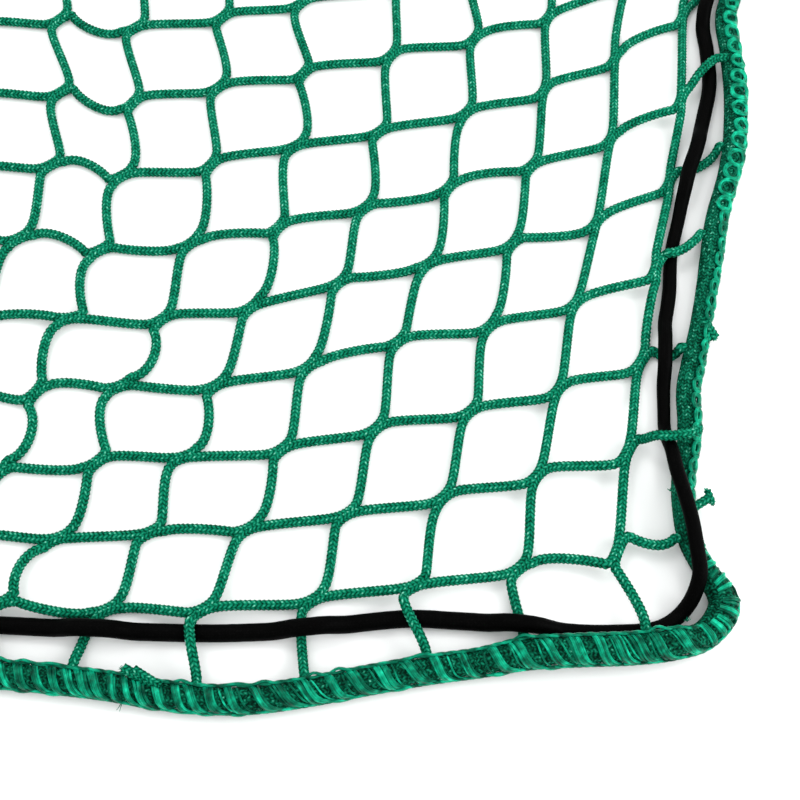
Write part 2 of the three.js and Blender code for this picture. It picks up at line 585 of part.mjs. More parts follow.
function buildNet() {
  const skin = newSkin();
  const grid = [];
  for (let course = 0; course < courses; course++) {
    grid.push([]);
    for (let wale = 0; wale < wales; wale++) grid[course].push(addJunction(skin, wale, course));
  }
  for (let course = 0; course < courses; course++) {
    for (let wale = 0; wale < wales; wale++) {
      const here = grid[course][wale];
      if (wale > 0) addBar(skin, here.right, grid[course][wale - 1].left, bulgeOf(wale, course, 'right'));
      if (course + 1 < courses) {
        addBar(skin, here.back, grid[course + 1][wale].front, bulgeOf(wale, course, 'back'));
      }
    }
  }
  for (const bar of edgeBars) {
    const port = grid[bar.course][bar.wale][bar.side];
    const bulge = bulgeOf(bar.wale, bar.course, bar.side);
    addOuterBar(skin, port, bar.end, bar.over, crossingOf(port.at, bar.end.at, cord), bulge);
  }
  return skinGeometry(skin);
}

// Where the cord is lifted, and how far, over the bars that pass under it and over the rope
function cordBumps() {
  const bumps = [];
  for (const bar of edgeBars) {
    const start = junctionAt(bar.wale, bar.course);
    const found = crossingOf(start, bar.end.at, cord);
    if (!found) continue;
    const { width, heading } = lineAt(cord, found.along);
    const slant = slantOf(unit(add(bar.end.at, start, -1)), heading);
    const flat = (twine / 2 + width / 2 * Math.sqrt(1 - slant ** 2)) / slant + cordEase;
    bumps.push({ along: found.along, height: bar.over ? 0 : twine + gap, flat, fall: cordFall });
  }
  const place = cordOverRope.near;
  const [x, y] = [place[0] - middle.x, place[1] - middle.y];
  const near = cord.reduce((best, s) => (distance(s.at, [x, y]) < distance(best.at, [x, y]) ? s : best));
  bumps.push({ ...cordOverRope, along: near.along });
  return bumps;
}

const bumps = cordBumps();

// Height of the cord's underside at a length along it
function cordUnderside(along) {
  const heights = bumps.map((bump) => {
    const way = Math.abs(along - bump.along) % cord.total;
    const apart = Math.min(way, cord.total - way);
    return bump.height * fade((apart - bump.flat) / bump.fall);
  });
  return Math.max(...heights);
}

// Lengths along a closed line where it gets a section: the keys, and others evenly between them
function sectionPlaces(line, spacing, keys) {
  const places = [...keys];
  for (let along = 0; along < line.total; along += spacing) {
    const turn = Math.acos(Math.min(1, new THREE.Vector2(...lineAt(line, along).heading)
      .dot(new THREE.Vector2(...lineAt(line, along + spacing).heading))));
    const parts = turn > 2 * bendLimit ? 3 : turn > bendLimit ? 2 : 1;
    for (let i = 0; i < parts; i++) {
      const place = along + spacing * i / parts;
      const clear = spacing * keyClearance;
      const free = keys.every((key) => Math.abs(key - place) > clear);
      if (free && place < line.total - clear) places.push(place);
    }
  }
  places.sort((a, b) => a - b);
  return places.filter((place, i) => i === 0 || place - places[i - 1] > closestSections);
}

// A closed tube along a line, flat below, with its section's half width and height at each place
function closedTube(line, places, undersideAt, heightShare) {
  const skin = newSkin();
  const rings = places.map((along) => {
    const { at, width, heading } = lineAt(line, along);
    const left = leftOf(heading);
    const half = width / 2;
    const high = half * heightShare;
    const ring = [];
    for (let i = 0; i < sides; i++) {
      const angle = (i + 0.5) * 2 * Math.PI / sides;
      const out = Math.cos(angle) / Math.cos(Math.PI / sides);
      const up = Math.sin(angle) / Math.cos(Math.PI / sides);
      ring.push(addPoint(skin, ...add(at, left, half * out), undersideAt(along) + high * (1 + up)));
    }
    return ring;
  });
  rings.forEach((ring, i) => joinRings(skin, ring, rings[(i + 1) % rings.length]));
  return skinGeometry(skin);
}

function buildCord() {
  const keys = bumps.flatMap(({ along, flat, fall }) =>
    [-flat - fall / 2, -flat, flat, flat + fall / 2].map((way) => (along + way + cord.total) % cord.total));
  return closedTube(cord, sectionPlaces(cord, cordSpacing, keys), cordUnderside, 1);
}

// A cut twine end, as a short square bar
function stubGeometry({ from, to, width }) {
  const corners = [[-1, -1], [1, -1], [1, 1], [-1, 1]];
  const shape = new THREE.Shape(corners.map(([u, v]) => new THREE.Vector2(u, v).multiplyScalar(width / 2)));
  const place = ([x, y, z]) => new THREE.Vector3(x - middle.x, y - middle.y, z);
  const extrudePath = new THREE.LineCurve3(place(from), place(to));
  return new THREE.ExtrudeGeometry(shape, { steps: 1, extrudePath });
}

const wasm = await Module();
wasm.setup();

function solid(geometry) {
  const bare = geometry.clone();
  bare.deleteAttribute('normal');
  bare.deleteAttribute('uv');
  const merged = mergeVertices(bare);
  const vertProperties = new Float32Array(merged.attributes.position.array);
  const triVerts = new Uint32Array(merged.index.array);
  return new wasm.Manifold(new wasm.Mesh({ numProp: 3, vertProperties, triVerts }));
}

function buildRope() {
  const keys = edgeBars.map((bar) => bar.end.along);
  const underside = (along) => lineAt(rope, along).rise;
  let joined = solid(closedTube(rope, sectionPlaces(rope, ropeSpacing, keys), underside, ropeHeight));
  for (const row of stubTable) joined = joined.add(solid(stubGeometry(row)));
  const { vertProperties, triVerts } = joined.getMesh();
  return skinGeometry({ points: Array.from(vertProperties), faces: Array.from(triVerts) });
}

function piece(name, geometry, color, roughness) {
  const material = new THREE.MeshStandardMaterial({ color, roughness, metalness: 0, flatShading: true });
  const mesh = new THREE.Mesh(geometry, material);
  mesh.name = name;
  return mesh;
}

const coverNet = new THREE.Group();
coverNet.add(piece('net', buildNet(), netColour, 0.7));
coverNet.add(piece('border_rope', buildRope(), ropeColour, 0.6));
coverNet.add(piece('elastic_cord', buildCord(), cordColour, 0.55));

export default coverNet;
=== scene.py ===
# Cover net: knotless green netting, a sewn border rope round its edge, and a black elastic cord that
# is threaded through the outer meshes. It lies on a floor with its front right corner drawn in.
# The plan is drawn in millimetres, as the maker's drawing is, and toMetres() turns it into metres.
import bisect
import math
import random
import bpy
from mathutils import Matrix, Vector


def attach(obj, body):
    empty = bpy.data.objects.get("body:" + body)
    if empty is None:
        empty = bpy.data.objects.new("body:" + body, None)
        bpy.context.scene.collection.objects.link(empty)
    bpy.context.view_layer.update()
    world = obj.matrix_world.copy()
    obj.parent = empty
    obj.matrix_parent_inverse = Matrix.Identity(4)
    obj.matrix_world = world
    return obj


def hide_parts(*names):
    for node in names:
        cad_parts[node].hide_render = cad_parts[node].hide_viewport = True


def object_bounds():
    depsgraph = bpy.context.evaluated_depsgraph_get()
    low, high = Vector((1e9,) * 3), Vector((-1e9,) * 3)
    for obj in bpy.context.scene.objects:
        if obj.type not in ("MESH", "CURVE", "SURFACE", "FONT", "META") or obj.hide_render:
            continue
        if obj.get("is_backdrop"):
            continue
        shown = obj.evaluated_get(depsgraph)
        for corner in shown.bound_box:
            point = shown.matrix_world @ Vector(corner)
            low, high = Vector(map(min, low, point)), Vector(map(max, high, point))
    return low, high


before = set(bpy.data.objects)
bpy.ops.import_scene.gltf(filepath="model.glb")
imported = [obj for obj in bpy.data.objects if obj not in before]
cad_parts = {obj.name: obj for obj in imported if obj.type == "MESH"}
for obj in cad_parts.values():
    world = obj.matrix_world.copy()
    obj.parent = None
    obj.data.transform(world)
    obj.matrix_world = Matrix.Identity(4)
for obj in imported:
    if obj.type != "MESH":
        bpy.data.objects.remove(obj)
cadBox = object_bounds()
mm = 0.001

# camera first: it stands in front of the net and looks down on its front right corner
view = {
    "target": (60.15, -85.35, 0),  # mm, the floor point in the middle of the picture
    "distance": 404,               # mm
    "elevation": 68,               # degrees above the floor
    "lens": 58.9,                  # mm on a 36 mm sensor
}


def addObject(name, data):
    obj = bpy.data.objects.new(name, data)
    bpy.context.scene.collection.objects.link(obj)
    return obj


def makeCamera():
    data = bpy.data.cameras.new("camera")
    data.lens = view["lens"]
    data.clip_start = 10 * mm
    camera = addObject("camera", data)
    tip = math.radians(view["elevation"])
    x, y, z = [value * mm for value in view["target"]]
    away = view["distance"] * mm
    camera.location = (x, y - away * math.cos(tip), z + away * math.sin(tip))
    camera.rotation_euler = (math.pi / 2 - tip, 0, 0)
    bpy.context.scene.camera = camera


makeCamera()

# the plan, in mm from the tables' own zero, which lies at "middle" from the net's middle
net = {
    "wales": 11,    # junctions in a row across, counted from the right
    "courses": 10,  # rows of junctions, counted from the front
    "twine": 3.0,   # thickness of a bar
    "middle": (-60, 85),
    "hubReach": 4.4,  # from a junction's middle to where a strand leaves it
    "hubAside": 1.4,  # a strand's middle there, beside the junction's middle
    "hubWaist": 0.4,  # and half-way through, where the two strands lie closest
    "hubPull": 0.36,  # how straight a strand runs there
    "hubSteps": 8,
    "cornerHubStretch": 1.2,  # the right edge's junctions are drawn out this much
    "hubRise": 3.0,           # of a junction whose outer bar passes over the elastic
    "leanByCourse": 3,        # junctions lean more towards the back, degrees a course
    "leanCourses": (3, 7),    # from the first of these courses to the second
    "portTurn": 12,           # degrees between a junction's lean and the bar that leaves it
    "portMix": 0.45,          # share of that in the bar's heading, the rest is where it goes
    "barPull": 3.4,
    "barSteps": 18,
    "outerSteps": 26,
    "levelWithin": (0.05, 0.97),  # shares of an outer bar between which it may pass the elastic
    "noRoomBeyond": 0.85,         # past this it has no room left to come down to the rope
    "rideHeight": 8.8,            # of the bar that ends on top of the rope
    "rideReach": 6.2,
    "endHeight": 2.6,    # underside of a bar where it meets the rope
    "endSunk": 2.6,      # how far its end goes into the rope's stitches
    "overBarEase": 1.0,  # a lifted bar stays level this far past the elastic's edge
    "overBarReach": 3,   # and clears the elastic this far to either side along it
    "cordEase": 0.8,     # and the elastic this far past a bar's edge
    "cordFall": 9,       # from there down to the floor
    "gap": 0.3,
    "lift": 0.35,      # slack bars stand this much off the floor at most
    "firstStitch": 3,  # a strand's first stitch starts within this
    "partedAt": 4,     # the last wale and course of the right and of the front quarters
}
ridingBar = ("right", 0, 1)
# where the elastic rides on the rope
cordOverRope = {"near": (84.5, -39.5), "height": 8.0, "flat": 17.5, "fall": 14}

# Per course: the x at the right edge, the mean step to the next wale, how far the row swells, and
# the y at wales 0, 2, 4, 6, 8 and 10
courseTable = [
    (63.8, 29.7, 0.0, (-49, -60, -66.5, -65, -61, -58)),
    (69.0, 28.6, 0.5, (-19.5, -32.5, -43, -45, -43, -39)),
    (75.2, 27.9, 1.5, (12, -5, -17, -21.5, -23, -19)),
    (83.0, 28.1, 1.0, (45.5, 24, 10.5, 3, 3, 4)),
    (89.0, 27.4, 2.4, (75, 53.5, 39.5, 26.5, 26, 28)),
    (96.0, 27.2, 1.7, (107.5, 82.5, 67, 53.5, 55.5, 58)),
    (101.6, 27.4, 2.2, (141, 113, 96, 83.5, 83, 86)),
    (108.0, 28.0, 2.0, (173, 143, 127, 114, 112, 115)),
    (112.0, 28.9, 0.5, (204, 173, 157, 143, 142, 145)),
    (114.0, 29.1, 0.0, (233, 203, 187, 173, 172, 175)),
]
# Lean of each wale's junctions at the fourth course, degrees
leanTable = (64, 54, 44, 41, 38, 34, 33, 36, 30, 34, 36)

# Junctions that lie off those rules: (wale, course): shift x, shift y, turn, rise
looseTable = {
    (0, 0): (-0.3, -0.5, 10, 3.5), (0, 1): (-0.5, 0.6, 3, 3.5), (0, 2): (0, 0, -4, 0),
    (0, 3): (-1.4, -2.2, 6, 0), (0, 4): (0, 1.6, 0, 0), (0, 5): (-1.3, -0.4, 0, 0),
    (0, 6): (-2.8, 2.6, -4, 0), (1, 0): (0.7, -0.4, -5, 1.5), (1, 1): (0.5, -0.8, 2, 2),
    (1, 2): (0.6, -2.4, 2, 1.5), (1, 3): (0.3, -3.5, -3, 0), (1, 4): (1.1, -3.7, 2, 0),
    (1, 5): (0.8, -2.8, 0, 0), (1, 6): (-1.5, -2.4, 5, 0), (1, 7): (-1.2, 0, 0, 0),
    (2, 0): (0, 0, -7, 0), (2, 1): (0.9, 0, 5, 0.8), (2, 2): (0.8, 0.2, 0, 0),
    (2, 3): (0.6, 0, 0, 0), (2, 5): (0.6, 0.2, -5, 0), (2, 6): (0.3, -0.3, 9, 0),
    (2, 7): (-2, 0, 0, 0), (3, 0): (0.3, 0.6, 0, 0), (3, 1): (0.5, 0.8, -3, 0),
    (3, 2): (0, 1.5, 5, 0), (3, 3): (0, 2.4, 0, 0), (3, 4): (0.2, 0.2, -7, 0),
    (3, 5): (0.3, 0.6, 4, 0), (3, 6): (1, 0, -4, 0), (4, 0): (-1.2, -0.4, 0, 0),
    (4, 1): (0.3, 0.9, -3, 0), (4, 2): (0, 0, 3, 0), (4, 3): (0.5, -0.3, 4, 0),
    (4, 5): (0.4, -0.3, -4, 0), (4, 6): (0, 0, -7, 0), (4, 8): (4, 0, 0, 0),
    (5, 1): (0, 1.5, -3, 0), (5, 2): (-1, 0.3, -11, 0), (5, 3): (0.9, -2, 0, 0),
    (5, 4): (1, -1.5, 2, 0), (5, 5): (0.8, 0.5, 9, 0), (5, 6): (0.5, 1.5, -10, 0),
    (5, 7): (-0.7, 0, 6, 0), (5, 8): (-2, 0, 0, 0), (6, 1): (2, 0, -7, 0),
    (6, 2): (1.8, 0.4, 10, 0), (6, 3): (-0.5, 0.5, -9, 0), (6, 4): (1.9, 0, 3, 0),
    (6, 5): (0.6, 0, 0, 0), (6, 6): (1.6, -0.3, 10, 0), (6, 7): (-0.5, -0.3, -3, 0),
    (7, 2): (1, -2, 11, 0), (7, 3): (2.4, -1, 13, 0), (7, 4): (1.6, 1, -25, 1.2),
    (7, 5): (-0.6, -2.4, -12, 0), (7, 6): (0.7, -3.4, -12, 0), (7, 7): (-0.2, -4.2, 3, 0),
    (7, 8): (-1, -3, -14, 0), (8, 5): (0, 0, -6, 0), (8, 6): (4, 0, -5, 0),
    (8, 7): (2.7, -0.3, -4, 0), (8, 8): (1.2, 0, 0, 0), (9, 6): (0, -3.5, 0, 0),
    (9, 7): (0, -4, 0, 0), (9, 8): (0, -4.5, 0, 0),
}

# Slack bars: how far each bulges to its left, seen from its junction, by wale and course
slackTable = {
    "right": {
        (0, 0): -2.4, (1, 0): 1.6, (5, 0): 0.4, (6, 0): -1.3, (0, 1): -2.6, (5, 1): 0.8,
        (0, 2): -2.8, (7, 2): -0.9, (0, 3): -3.2, (1, 3): 0.4, (4, 3): 0.8, (6, 3): -0.6,
        (7, 3): 0.9, (0, 4): -3.4, (1, 4): 0.6, (2, 4): -0.9, (4, 4): -1, (8, 4): 0.9,
        (1, 5): 1.1, (3, 5): 0.9, (4, 5): -0.9, (6, 5): 1.2, (7, 5): -1, (8, 5): 2.6,
        (1, 6): 1.5, (8, 6): 2.4, (3, 7): 0.8, (6, 7): 0.3, (8, 7): -3, (8, 8): -3.4,
    },
    "back": {
        (2, 0): 0.7, (3, 0): -0.5, (5, 0): -0.6, (6, 0): 2.9, (4, 1): -1.2, (5, 1): 0.6,
        (6, 1): -1.1, (0, 2): 0.8, (2, 2): 0.4, (5, 2): -2.2, (6, 2): 1.8, (7, 2): -4,
        (2, 3): -0.9, (3, 3): 0.5, (4, 3): -0.9, (5, 3): -0.5, (6, 3): -3.8, (7, 3): 1.8,
        (2, 4): -0.6, (3, 4): -0.8, (5, 4): -2, (7, 4): 2.2, (8, 4): 1.5, (3, 5): 0.8,
        (4, 5): -1, (5, 5): 0.6, (6, 5): -1.4, (7, 5): 1.6, (8, 5): -0.7, (1, 6): 0.6,
        (4, 6): 0.4, (5, 6): -1.5, (7, 6): -1.5, (8, 6): 0.5, (5, 7): 0.6, (6, 7): -0.8,
    },
    "front": {(0, 0): 1, (1, 0): 0.5},
}

# How far along the edge each outer bar's end lies from its junction
slides = {
    "front": (7, 1, 3.6, -0.8, -1.1, -7, -2, 1, 2, 0, -3),
    "right": (4.7, 5.2, 2.6, 11.3, 11, 15, 9.4, 9, 6, 3),
    "back": (-4, 2, -2, 1, -1, 2, 0, -2, 1, 0, 3),
    "left": (3, 1, -2, 2, 0, 1, -1, 2, 0, -2),
}

# The border rope's middle line: side, width, rise, points
ropeTable = [
    ("front", 8.6, 0, [(-236, -82), (-205, -84), (-172, -83), (-142, -83), (-113, -85)]),
    ("front", 8.8, 0, [(-84, -88), (-69, -90.5), (-55, -92), (-41, -92), (-26, -90)]),
    ("front", 8.8, 0, [(-10, -87), (7, -84), (22, -82)]),
    ("front", 9.8, 2.6, [(36, -79.8), (51, -78.9), (65, -78.4), (77, -77)]),
    ("front", 9.4, 0, [(87, -73.5)]),
    ("corner", 10.3, 0, [(92.7, -65.1)]),
    ("right", 8.2, 0, [(88.3, -55.2)]),
    ("right", 7.8, 0, [(84.4, -46), (83.5, -35), (84.2, -26), (86.2, -18)]),
    ("right", 8.2, 0, [(87.4, -9), (87.8, 1), (90, 10)]),
    ("right", 7.6, 0, [(93.3, 22), (96.4, 35)]),
    ("right", 8.2, 0, [(99.2, 48), (102.3, 62), (107, 76)]),
    ("right", 8.8, 0, [(110.2, 88), (112, 101), (112.9, 113)]),
    ("right", 8.2, 0, [(112.7, 127), (112.6, 142)]),
    ("right", 8.6, 0, [(119, 160), (124.4, 180), (130, 200), (134, 220), (136, 238)]),
    ("corner", 8.6, 0, [(133, 254), (120, 262), (104, 259)]),
    ("back", 8.6, 0, [(80, 247), (54, 233), (27, 223), (-2, 214), (-32, 206), (-60, 200)]),
    ("back", 8.6, 0, [(-90, 198), (-120, 199), (-148, 201), (-174, 203)]),
    ("corner", 8.6, 0, [(-192, 201), (-203, 190), (-204, 174)]),
    ("left", 8.6, 0, [(-202, 150), (-198, 120), (-197, 92), (-202, 64), (-210, 36)]),
    ("left", 8.6, 0, [(-219, 8), (-228.5, -17), (-241, -38), (-251, -56)]),
    ("corner", 8.6, 0, [(-256, -70), (-250.5, -79)]),
]

# The elastic cord's middle line: side, thickness, rise, points
cordTable = [
    ("front", 5.2, 0, [(-226, -70), (-200, -71.5), (-172, -71), (-143, -70), (-115, -71), (-86, -72.5)]),
    ("front", 5.2, 0, [(-60, -73.3), (-45, -73.2), (-27, -72.2), (0, -69.3), (15, -69.7), (33, -71)]),
    ("front", 4.5, 0, [(49, -72.7), (62, -73), (74.3, -71.8), (82.2, -66.4), (85.6, -58.6)]),
    ("right", 4.3, 0, [(85.5, -50), (84.8, -42), (83.3, -34), (81.3, -25)]),
    ("right", 4, 0, [(80.4, -15), (80.9, -4)]),
    ("right", 4.5, 0, [(81.7, 9), (82.9, 22), (85.5, 35)]),
    ("right", 4.3, 0, [(87.2, 49), (90.9, 63)]),
    ("right", 4.9, 0, [(94.3, 77), (98.3, 88), (102.4, 102), (105.2, 114), (105.5, 128), (105.2, 142)]),
    ("right", 4.5, 0, [(110.7, 158)]),
    ("right", 4.8, 0, [(114, 178), (119, 198), (123, 218), (124, 236)]),
    ("corner", 4.6, 0, [(120, 248), (110, 250)]),
    ("back", 5.0, 0, [(84, 237), (57, 223), (28, 212), (-2, 203), (-33, 195), (-61, 189)]),
    ("back", 5.0, 0, [(-91, 187), (-120, 188), (-148, 190), (-172, 192)]),
    ("corner", 5.0, 0, [(-186, 190), (-193, 181)]),
    ("left", 5.0, 0, [(-193, 172), (-191, 150), (-187, 120), (-186, 92), (-191, 66), (-199, 38)]),
    ("left", 5.0, 0, [(-208, 10), (-217.5, -13), (-230, -34), (-239.5, -50)]),
    ("corner", 5.2, 0, [(-242.5, -60), (-238, -68)]),
]


def toMetres(point):
    return tuple(value * mm for value in point)


# plane geometry
def plus(a, b, k=1.0):
    return tuple(p + q * k for p, q in zip(a, b))


def unit(a):
    size = math.hypot(*a)
    return tuple(p / size for p in a)


def leftOf(a):
    return (-a[1], a[0])


def dot(a, b):
    return sum(p * q for p, q in zip(a, b))


def apart(a, b):
    return math.dist(a, b)


def ease(t):
    t = min(max(t, 0.0), 1.0)
    return t * t * (3 - 2 * t)


def mix(a, b, t):
    return a + (b - a) * t


def between(before, start, end, after, t):
    pull, push, rest = (end - before) / 2, (after - start) / 2, end - start
    return start + t * (pull + t * (3 * rest - 2 * pull - push + t * (pull + push - 2 * rest)))


def bezier(points, t):
    a, b, c, d = points
    s = 1 - t
    return tuple(s ** 3 * p + 3 * s * s * t * q + 3 * s * t * t * r + t ** 3 * u
                 for p, q, r, u in zip(a, b, c, d))


# A smooth closed line through a table's points, sampled finely
class ClosedLine:
    samplesBetween = 12
    nearSide = 3    # mm, how close in x or y a sample has to be to the place asked for
    sideDepth = 12  # mm, how far inside the outermost of those it may lie

    def __init__(self, table):
        x0, y0 = net["middle"]
        knots = [(x - x0, y - y0, width, rise, side) for side, width, rise, line in table for x, y in line]
        self.samples = []
        for i in range(len(knots)):
            near = [knots[(i + k) % len(knots)] for k in (-1, 0, 1, 2)]
            for j in range(self.samplesBetween):
                t = j / self.samplesBetween
                x, y, width, rise = [between(*[knot[k] for knot in near], t) for k in range(4)]
                self.samples.append((x, y, width, max(rise, 0.0), knots[i][4]))
        self.starts = [0.0]
        for here, there in zip(self.samples, self.samples[1:] + self.samples[:1]):
            self.starts.append(self.starts[-1] + apart(here[:2], there[:2]))
        self.total = self.starts.pop()

    # place, heading, width and rise at a length along the line
    def at(self, along):
        along %= self.total
        count = len(self.samples)
        i = bisect.bisect_right(self.starts, along) - 1
        here, there = self.samples[i], self.samples[(i + 1) % count]
        span = (self.starts[i + 1] if i + 1 < count else self.total) - self.starts[i]
        t = (along - self.starts[i]) / span
        before, after = self.samples[i - 1], self.samples[(i + 2) % count]
        heading = unit(plus(plus(there[:2], here[:2], -1), plus(after[:2], before[:2], -1), 0.5))
        x, y, width, rise = [mix(here[k], there[k], t) for k in range(4)]
        return (x, y), heading, width, rise

    # where the stretch from a to b crosses the line: share of the stretch, length along the line
    def crossing(self, a, b):
        u = plus(b, a, -1)
        for i, p in enumerate(self.samples):
            q = self.samples[(i + 1) % len(self.samples)]
            v, w = plus(q[:2], p[:2], -1), plus(p[:2], a, -1)
            cross = u[0] * v[1] - u[1] * v[0]
            if abs(cross) < 1e-9:
                continue
            onBar = (w[0] * v[1] - w[1] * v[0]) / cross
            onLine = (w[0] * u[1] - w[1] * u[0]) / cross
            if 0 <= onBar <= 1 and 0 <= onLine < 1:
                return onBar, self.starts[i] + onLine * apart(p[:2], q[:2])
        return None

    # the sample on one side of the net at a given x or y
    def onSide(self, side, axis, value):
        outward = {"front": (0, -1), "back": (0, 1), "left": (-1, 0), "right": (1, 0)}[side]
        near = [i for i, sample in enumerate(self.samples)
                if sample[4] in (side, "corner") and abs(sample[axis] - value) < self.nearSide]
        depth = {i: dot(self.samples[i][:2], outward) for i in near}
        outer = [i for i in near if depth[i] > max(depth.values()) - self.sideDepth]
        return self.starts[min(outer, key=lambda i: abs(self.samples[i][axis] - value))]


rope = ClosedLine(ropeTable)
cord = ClosedLine(cordTable)


def courseDepth(course, wale):
    values = courseTable[course][3]
    index = min(int(wale / 2), len(values) - 2)
    near = [values[min(max(index + k, 0), len(values) - 1)] for k in (-1, 0, 1, 2)]
    return between(*near, wale / 2 - index)


# A junction: its middle, the way it leans, and how far it is lifted
def junction(wale, course):
    right, step, bow, _ = courseTable[course]
    shiftX, shiftY, turn, _ = looseTable.get((wale, course), (0, 0, 0, 0))
    x = right - step * wale + bow * math.sin(2 * math.pi * wale / (net["wales"] - 1)) + shiftX
    y = courseDepth(course, wale) + shiftY
    first, last = net["leanCourses"]
    lean = math.radians(leanTable[wale] + net["leanByCourse"] * (min(course, last) - first) + turn)
    x0, y0 = net["middle"]
    return (x - x0, y - y0), (math.cos(lean), math.sin(lean))


portSigns = {"right": (1, -1), "back": (1, 1), "left": (-1, 1), "front": (-1, -1)}


# Where a strand leaves a junction, and the plain heading of the bar there
def port(wale, course, side):
    at, ahead = junction(wale, course)
    along, across = portSigns[side]
    reach = net["hubReach"] * (net["cornerHubStretch"] if wale == 0 else 1)
    place = plus(plus(at, ahead, along * reach), leftOf(ahead), across * net["hubAside"])
    turn = math.radians(net["portTurn"])
    outward = plus([p * along * math.cos(turn) for p in ahead], leftOf(ahead), across * math.sin(turn))
    return place, outward


def outerBars():
    bars = []
    wales, courses = net["wales"], net["courses"]
    order = [("right", 0, c) for c in range(courses)] + [("back", w, courses - 1) for w in range(wales)]
    order += [("left", wales - 1, c) for c in reversed(range(courses))]
    order += [("front", w, 0) for w in reversed(range(wales))]
    for i, (side, wale, course) in enumerate(order):
        axis = 0 if side in ("front", "back") else 1
        slide = slides[side][wale if axis == 0 else course]
        along = rope.onSide(side, axis, junction(wale, course)[0][axis] + slide)
        place, heading, width, _ = rope.at(along)
        inward = leftOf(heading)
        riding = (side, wale, course) == ridingBar
        end = plus(place, inward, width / 2 - (net["rideReach"] if riding else 0))
        bars.append({"key": (side, wale, course), "end": end, "inward": inward, "along": along,
                     "riding": riding, "over": i % 2 == 1})
    return bars


edgeBars = {bar["key"]: bar for bar in outerBars()}
lifted = {key[1:] for key, bar in edgeBars.items() if bar["over"]}


def riseOf(wale, course):
    own = looseTable.get((wale, course), (0,) * 4)[3]
    return max(own, net["hubRise"] if (wale, course) in lifted else 0)


# Where a bar passes the elastic: share of the bar, length along the elastic, its width there, and the
# sine of the angle between them
def cordCrossing(start, end):
    found = cord.crossing(start, end)
    if not found:
        return None
    _, heading, width, _ = cord.at(found[1])
    way = unit(plus(end, start, -1))
    return (*found, width, abs(way[0] * heading[1] - way[1] * heading[0]))


# how high the elastic lies along its length: over the low bars, and over the rope once
def cordBumps():
    bumps = []
    for (_, wale, course), bar in edgeBars.items():
        found = cordCrossing(junction(wale, course)[0], bar["end"])
        if not found:
            continue
        _, along, width, slant = found
        flat = (net["twine"] / 2 + width / 2 * math.sqrt(1 - slant ** 2)) / slant + net["cordEase"]
        height = 0 if bar["over"] else net["twine"] + net["gap"]
        bumps.append((along, height, flat, net["cordFall"]))
    place = plus(cordOverRope["near"], net["middle"], -1)
    near = min(range(len(cord.samples)), key=lambda i: apart(cord.samples[i][:2], place))
    bumps.append((cord.starts[near], cordOverRope["height"], cordOverRope["flat"], cordOverRope["fall"]))
    return bumps


bumps = cordBumps()


def cordUnderside(along):
    heights = []
    for place, height, flat, fall in bumps:
        way = abs(along - place) % cord.total
        way = min(way, cord.total - way)
        heights.append(height * (1 - ease((way - flat) / fall)))
    return max(heights)


# the twine's strands. Each runs up through the net in steps: across a bar, past the
# upper left side of a junction, back along a bar, past the lower right side of the next one
chance = random.Random(7)


def hubPath(wale, course, enter, leave):
    at, ahead = junction(wale, course)
    start, end = port(wale, course, enter)[0], port(wale, course, leave)[0]
    middle = plus(at, leftOf(ahead), portSigns[leave][1] * net["hubWaist"])
    pull = apart(start, middle) * net["hubPull"]
    first = [start, plus(start, barWay(wale, course, enter), -pull), plus(middle, ahead, -pull), middle]
    second = [middle, plus(middle, ahead, pull), plus(end, barWay(wale, course, leave), -pull), end]
    steps = net["hubSteps"]
    points = [bezier(half, i / steps) for half in (first, second) for i in range(steps)]
    return [(x, y, riseOf(wale, course)) for x, y in points]


neighbour = {
    "right": (-1, 0, "left"), "left": (1, 0, "right"), "back": (0, 1, "front"), "front": (0, -1, "back"),
}


# Heading of the bar where it leaves a junction
def barWay(wale, course, side):
    place, outward = port(wale, course, side)
    stepWale, stepCourse, far = neighbour[side]
    if (side, wale, course) in edgeBars:
        goal = edgeBars[(side, wale, course)]["end"]
    else:
        goal = port(wale + stepWale, course + stepCourse, far)[0]
    straight = unit(plus(goal, place, -1))
    return unit(plus([p * net["portMix"] for p in outward], straight, 1 - net["portMix"]))


def slackOf(wale, course, side):
    stepWale, stepCourse, far = neighbour[side]
    there = (wale + stepWale, course + stepCourse)
    seenFromThere = slackTable.get(far, {}).get(there, 0)
    return slackTable.get(side, {}).get((wale, course), -seenFromThere)


# The four points of the curve of a bar that leaves a junction and comes in at end
def barCurve(wale, course, side, end, endWay):
    start = port(wale, course, side)[0]
    pull = min(net["barPull"], apart(start, end) / 3)
    aside = leftOf(unit(plus(end, start, -1)))
    bulge = slackOf(wale, course, side) * 4 / 3
    return [start, plus(plus(start, barWay(wale, course, side), pull), aside, bulge),
            plus(plus(end, endWay, pull), aside, bulge), end]


# An inner bar, from a junction to the next
def barPath(wale, course, side):
    stepWale, stepCourse, far = neighbour[side]
    there = (wale + stepWale, course + stepCourse)
    points = barCurve(wale, course, side, port(*there, far)[0], barWay(*there, far))
    low, high = riseOf(wale, course), riseOf(*there)
    lift = chance.uniform(0, net["lift"])
    steps = net["barSteps"]
    path = []
    for i in range(steps):
        t = i / steps
        x, y = bezier(points, t)
        path.append((x, y, mix(low, high, ease(t)) + lift * math.sin(math.pi * t) ** 2))
    return path


